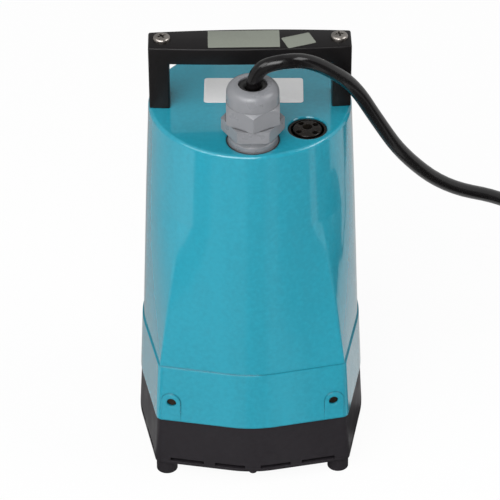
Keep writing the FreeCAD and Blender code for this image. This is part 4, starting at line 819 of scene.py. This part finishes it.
class PUMP_OT_screws(bpy.types.Operator):
    """Makes the cross-recessed screws of the handle and finishes the brass screws in the skirt"""

    bl_idname = "pump.screws"
    bl_label = "Visible screws"

    def execute(self, context):
        low, high = box("handle_screws")
        centre = (low + high) / 2
        head, head_height = 0.00475, 0.0031
        slot_width, slot_depth = 0.0012, 0.0018
        shank_radius = 0.00245
        sunk = 0.0006
        left_shift, back_shift = 0.0009, 0.0012
        left_turn, right_turn = 0.5, 0.15
        reach = high.x - centre.x - head
        spots = ((centre.x - reach + left_shift, left_turn), (centre.x + reach, right_turn))
        y = centre.y + back_shift

        def make(shape):
            for x, turn in spots:
                seat = Vector((x, y, GRIP_TOP - sunk))
                place = Matrix.Translation(seat) @ Matrix.Rotation(turn, 4, "Z")
                pan_head(shape, place, head, head_height, slot_width, slot_depth)
                foot = Matrix.Translation((x, y, low.z))
                shank = lathe(shape, [(shank_radius, 0), (shank_radius, seat.z - low.z)], foot, steps=24)
                close_ends(shape, shank)

        piece = new_piece("handle_screw_heads", make, "zinc plate")
        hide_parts("handle_screws")
        dress("side_screws", "dull brass")
        return {"FINISHED"}


# the cable's route in millimetres from the pump's axis: across, along and height;
# these are the part's own points, moved to the photographed line
ROUTE = (
    (0.9, -39.4, 255.3), (1.2, -39.8, 270), (18.1, -41.6, 276.5), (34.3, -33.5, 270.6),
    (56.1, -13.6, 243.6), (69.8, -5.6, 215.2), (86.4, 7, 181.2), (114, 27, 144.4), (151.2, 52.1, 118.7),
    (178.7, 73, 86.8), (195.8, 82, 49), (215.4, 86, 18), (240, 86, 4.2), (264, 86, 4.2))
# the wound remainder, in millimetres and turns
COIL = {"outer": 66.0, "pitch": 10.2, "climb": 11.0, "straight": 8.2, "turns_in": 4, "turns_out": 4}


def coil_points():
    """Control points of the wound remainder: a spiral in, a climb in half a turn, a spiral out above."""
    last, before = Vector(ROUTE[-1]), Vector(ROUTE[-2])
    along = (last - before).normalized()
    sideways = Vector((along.y, -along.x, 0))
    centre = last + along * COIL["straight"] + sideways * COIL["outer"]
    per_turn = 16
    start = math.atan2(-sideways.y, -sideways.x)
    half_turns = 2 * COIL["turns_in"] + 1 + 2 * COIL["turns_out"]
    # control points stand a little outside the round line that they draw
    swell = 1 / math.cos(math.pi / per_turn) ** 0.5
    points = []
    for step in range(1, half_turns * per_turn // 2 + 1):
        halves = 2 * step / per_turn
        inward = min(halves, 2 * COIL["turns_in"])
        outward = max(halves - 2 * COIL["turns_in"] - 1, 0)
        radius = COIL["outer"] - COIL["pitch"] / 2 * (inward - outward)
        climbed = min(max(halves - 2 * COIL["turns_in"], 0), 1)
        height = last.z + COIL["climb"] * (climbed * climbed * (3 - 2 * climbed))
        angle = start - math.pi * halves
        points.append(Vector((centre.x + radius * swell * math.cos(angle),
                              centre.y + radius * swell * math.sin(angle), height)))
    end = Vector(points[-1])
    leaving = Vector((math.sin(angle), -math.cos(angle), 0))
    points.append(end + leaving * COIL["straight"])
    return points


class PUMP_OT_cable(bpy.types.Operator):
    """Lays the mains cable from the gland to the floor and winds what is left beside the pump"""

    bl_idname = "pump.cable"
    bl_label = "Mains cable"

    def execute(self, context):
        sizes = context.scene.pump_sizes
        points = [Vector(point) for point in ROUTE] + coil_points()
        curve = bpy.data.curves.new("mains_cable", "CURVE")
        curve.dimensions = "3D"
        curve.bevel_depth = sizes.cable_diameter / 2
        curve.bevel_resolution = 6
        curve.use_fill_caps = True
        spline = curve.splines.new("NURBS")
        spline.points.add(len(points) - 1)
        for control, point in zip(spline.points, points):
            control.co = (*(point * MM + AXIS), 1)
        spline.order_u = 3
        spline.use_endpoint_u = True
        spline.resolution_u = 6
        curve.materials.append(finish_named("cable sheath"))
        piece = bpy.data.objects.new("mains_cable", curve)
        context.scene.collection.objects.link(piece)
        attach(piece, HOUSING)
        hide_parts("power_cable", "cable_coil")
        dress("plug", "cable sheath")
        dress("plug_pins", "ground steel")
        return {"FINISHED"}


# how bright the room is in reflections, by the turn round the pump from the back over its left side
PANELS = (
    (0.0, 0.32), (0.25, 0.42), (0.33, 0.62), (0.333, 0.04), (0.38, 0.06), (0.388, 0.25), (0.483, 0.25),
    (0.49, 0.09), (0.533, 0.09), (0.545, 0.22), (0.569, 0.22), (0.58, 0.06), (0.672, 0.06), (0.677, 0.5),
    (0.694, 0.5), (0.7, 0.03), (0.752, 0.03), (0.76, 0.55), (1.0, 0.48))


def room_level(tree, coordinates):
    """Brightness of the room in reflections: white panels beside and behind, dark gaps in front."""
    place = add(tree, "TexCoord")
    parts = add(tree, "SeparateXYZ")
    front = add(tree, "Math", operation="MULTIPLY")
    front.inputs[1].default_value = -1
    turn = add(tree, "Math", operation="ARCTAN2")
    share = add(tree, "MapRange")
    share.inputs["From Min"].default_value = -math.pi
    share.inputs["From Max"].default_value = math.pi
    ramp = add(tree, "ValToRGB")
    elements = ramp.color_ramp.elements
    for position, level in PANELS[1:-1]:
        elements.new(position)
    for element, (position, level) in zip(elements, PANELS):
        element.position = position
        element.color = (level, level, level, 1)
    link(tree, place.outputs[coordinates], parts.inputs[0])
    link(tree, parts.outputs["Y"], front.inputs[0])
    link(tree, parts.outputs["X"], turn.inputs[0])
    link(tree, front.outputs[0], turn.inputs[1])
    link(tree, turn.outputs[0], share.inputs["Value"])
    link(tree, share.outputs[0], ramp.inputs["Fac"])
    return ramp.outputs["Color"]


def seen_strength(tree, coordinates):
    """Light of a background as it is seen: one to the camera, the room's panels in reflections."""
    rays = add(tree, "LightPath")
    strength = add(tree, "Mix", data_type="FLOAT")
    strength.inputs["B"].default_value = 1
    reflected = add(tree, "Math", operation="MAXIMUM")
    seen = add(tree, "Math", operation="MAXIMUM")
    link(tree, rays.outputs["Is Camera Ray"], strength.inputs["Factor"])
    link(tree, room_level(tree, coordinates), strength.inputs["A"])
    link(tree, rays.outputs["Is Glossy Ray"], reflected.inputs[0])
    link(tree, rays.outputs["Is Transmission Ray"], reflected.inputs[1])
    link(tree, reflected.outputs[0], seen.inputs[0])
    link(tree, rays.outputs["Is Camera Ray"], seen.inputs[1])
    return strength.outputs["Result"], seen.outputs[0]


def floor_material():
    """White paper: seen straight on it is near white, and it keeps a soft shadow."""
    paper_tone, glow_share = 0.86, 0.94
    material = bpy.data.materials.new("studio paper")
    material.use_nodes = True
    tree = material.node_tree
    shader = tree.nodes["Principled BSDF"]
    shader.inputs["Base Color"].default_value = (paper_tone, paper_tone, paper_tone, 1)
    shader.inputs["Roughness"].default_value = 0.9
    glow = add(tree, "Emission")
    share = add(tree, "Math", operation="MULTIPLY")
    share.inputs[1].default_value = glow_share
    mix = add(tree, "MixShader")
    strength, seen = seen_strength(tree, "Object")
    link(tree, strength, glow.inputs["Strength"])
    link(tree, seen, share.inputs[0])
    link(tree, share.outputs[0], mix.inputs["Fac"])
    link(tree, shader.outputs[0], mix.inputs[1])
    link(tree, glow.outputs[0], mix.inputs[2])
    link(tree, mix.outputs[0], tree.nodes["Material Output"].inputs["Surface"])
    return material


def surround(level):
    """Even light from all round, seen as the room's panels in reflections and as white by the camera."""
    world = bpy.data.worlds.new("surround")
    world.use_nodes = True
    tree = world.node_tree
    back = tree.nodes["Background"]
    back.inputs["Color"].default_value = (1, 1, 1, 1)
    total = add(tree, "Mix", data_type="FLOAT")
    total.inputs["A"].default_value = level
    strength, seen = seen_strength(tree, "Generated")
    link(tree, seen, total.inputs["Factor"])
    link(tree, strength, total.inputs["B"])
    link(tree, total.outputs["Result"], back.inputs["Strength"])
    return world


# softboxes, in metres and watts: name, place, the point that it faces, width, height, power
SOFTBOXES = (
    ("front_box", (-0.95, -2.05, 1.75), (0, 0, 0.12), 2.8, 1.6, 31),
    ("left_box", (-1.4, -0.6, 1.4), (0, 0, 0.12), 0.9, 0.9, 7),
    ("right_box", (1.4, -0.2, 1.4), (0, 0, 0.12), 0.9, 0.9, 11),
    ("top_box", (-0.3, -1.05, 1.25), (0, 0, 0.2), 1.0, 0.8, 11))


def soft_light(name, place, target, width, height, power):
    """A rectangular softbox that faces a point."""
    lamp = bpy.data.lights.new(name, "AREA")
    lamp.shape = "RECTANGLE"
    lamp.size = width
    lamp.size_y = height
    lamp.energy = power
    holder = bpy.data.objects.new(name, lamp)
    holder.location = place
    holder.rotation_euler = (Vector(target) - Vector(place)).to_track_quat("-Z", "Y").to_euler()
    bpy.context.scene.collection.objects.link(holder)


class PUMP_OT_stage(bpy.types.Operator):
    """Sets the floor, soft studio light and the camera at the photograph's angle"""

    bl_idname = "pump.stage"
    bl_label = "Stage"

    def execute(self, context):
        scene = context.scene
        settings = scene.pump_stage
        floor_mesh = bpy.data.meshes.new("floor")
        reach, floor_drop = 6.0, 0.0001
        corners = [(-reach, -reach, 0), (reach, -reach, 0), (reach, reach, 0), (-reach, reach, 0)]
        floor_mesh.from_pydata(corners, [], [(0, 1, 2, 3)])
        floor_mesh.materials.append(floor_material())
        floor = bpy.data.objects.new("floor", floor_mesh)
        floor.location = AXIS - Vector((0, 0, floor_drop))
        scene.collection.objects.link(floor)

        for softbox in SOFTBOXES:
            soft_light(*softbox)

        scene.world = surround(settings.world_strength)

        lens = bpy.data.cameras.new("camera")
        lens.lens = settings.lens / MM
        lens.sensor_width = 36
        lens.clip_start = 0.05
        camera = bpy.data.objects.new("camera", lens)
        forward = Vector((math.sin(settings.yaw) * math.cos(settings.pitch),
                          math.cos(settings.yaw) * math.cos(settings.pitch), -math.sin(settings.pitch)))
        right = Vector((math.cos(settings.yaw), -math.sin(settings.yaw), 0))
        up = right.cross(forward)
        leant_right = right * math.cos(settings.roll) + up * math.sin(settings.roll)
        leant_up = up * math.cos(settings.roll) - right * math.sin(settings.roll)
        turned = Matrix((leant_right, leant_up, -forward)).transposed().to_4x4()
        stand = Vector(settings.place) + AXIS + Vector((0, 0, LID_TOP))
        camera.matrix_world = Matrix.Translation(stand) @ turned
        scene.collection.objects.link(camera)
        scene.camera = camera
        scene.view_settings.view_transform = "Standard"
        return {"FINISHED"}


STEPS = (PUMP_OT_housing, PUMP_OT_handle, PUMP_OT_works, PUMP_OT_gland, PUMP_OT_plates, PUMP_OT_switch,
         PUMP_OT_spring, PUMP_OT_screws, PUMP_OT_cable, PUMP_OT_stage)


class PUMP_PT_panel(bpy.types.Panel):
    """Lists the steps and their settings"""

    bl_idname = "PUMP_PT_panel"
    bl_label = "Sump pump"
    bl_space_type = "VIEW_3D"
    bl_region_type = "UI"
    bl_category = "Pump"

    def draw(self, context):
        for step in STEPS:
            self.layout.operator(step.bl_idname, text=step.bl_label)
        for group in (context.scene.pump_colours, context.scene.pump_sizes, context.scene.pump_stage):
            column = self.layout.column()
            for key in group.__annotations__:
                column.prop(group, key)


CLASSES = (PumpColours, PumpSizes, PumpStage, *STEPS, PUMP_PT_panel)


def register():
    """Make the classes and the scene's settings known."""
    for item in CLASSES:
        bpy.utils.register_class(item)
    bpy.types.Scene.pump_colours = bpy.props.PointerProperty(type=PumpColours)
    bpy.types.Scene.pump_sizes = bpy.props.PointerProperty(type=PumpSizes)
    bpy.types.Scene.pump_stage = bpy.props.PointerProperty(type=PumpStage)


def unregister():
    """Take the settings and classes away again."""
    del bpy.types.Scene.pump_stage
    del bpy.types.Scene.pump_sizes
    del bpy.types.Scene.pump_colours
    for item in reversed(CLASSES):
        bpy.utils.unregister_class(item)


def main():
    """Build the whole scene in order."""
    register()
    bpy.ops.pump.housing()
    bpy.ops.pump.handle()
    bpy.ops.pump.works()
    bpy.ops.pump.gland()
    bpy.ops.pump.plates()
    bpy.ops.pump.switch()
    bpy.ops.pump.spring()
    bpy.ops.pump.screws()
    bpy.ops.pump.cable()
    bpy.ops.pump.stage()


if __name__ == "__main__":
    main()
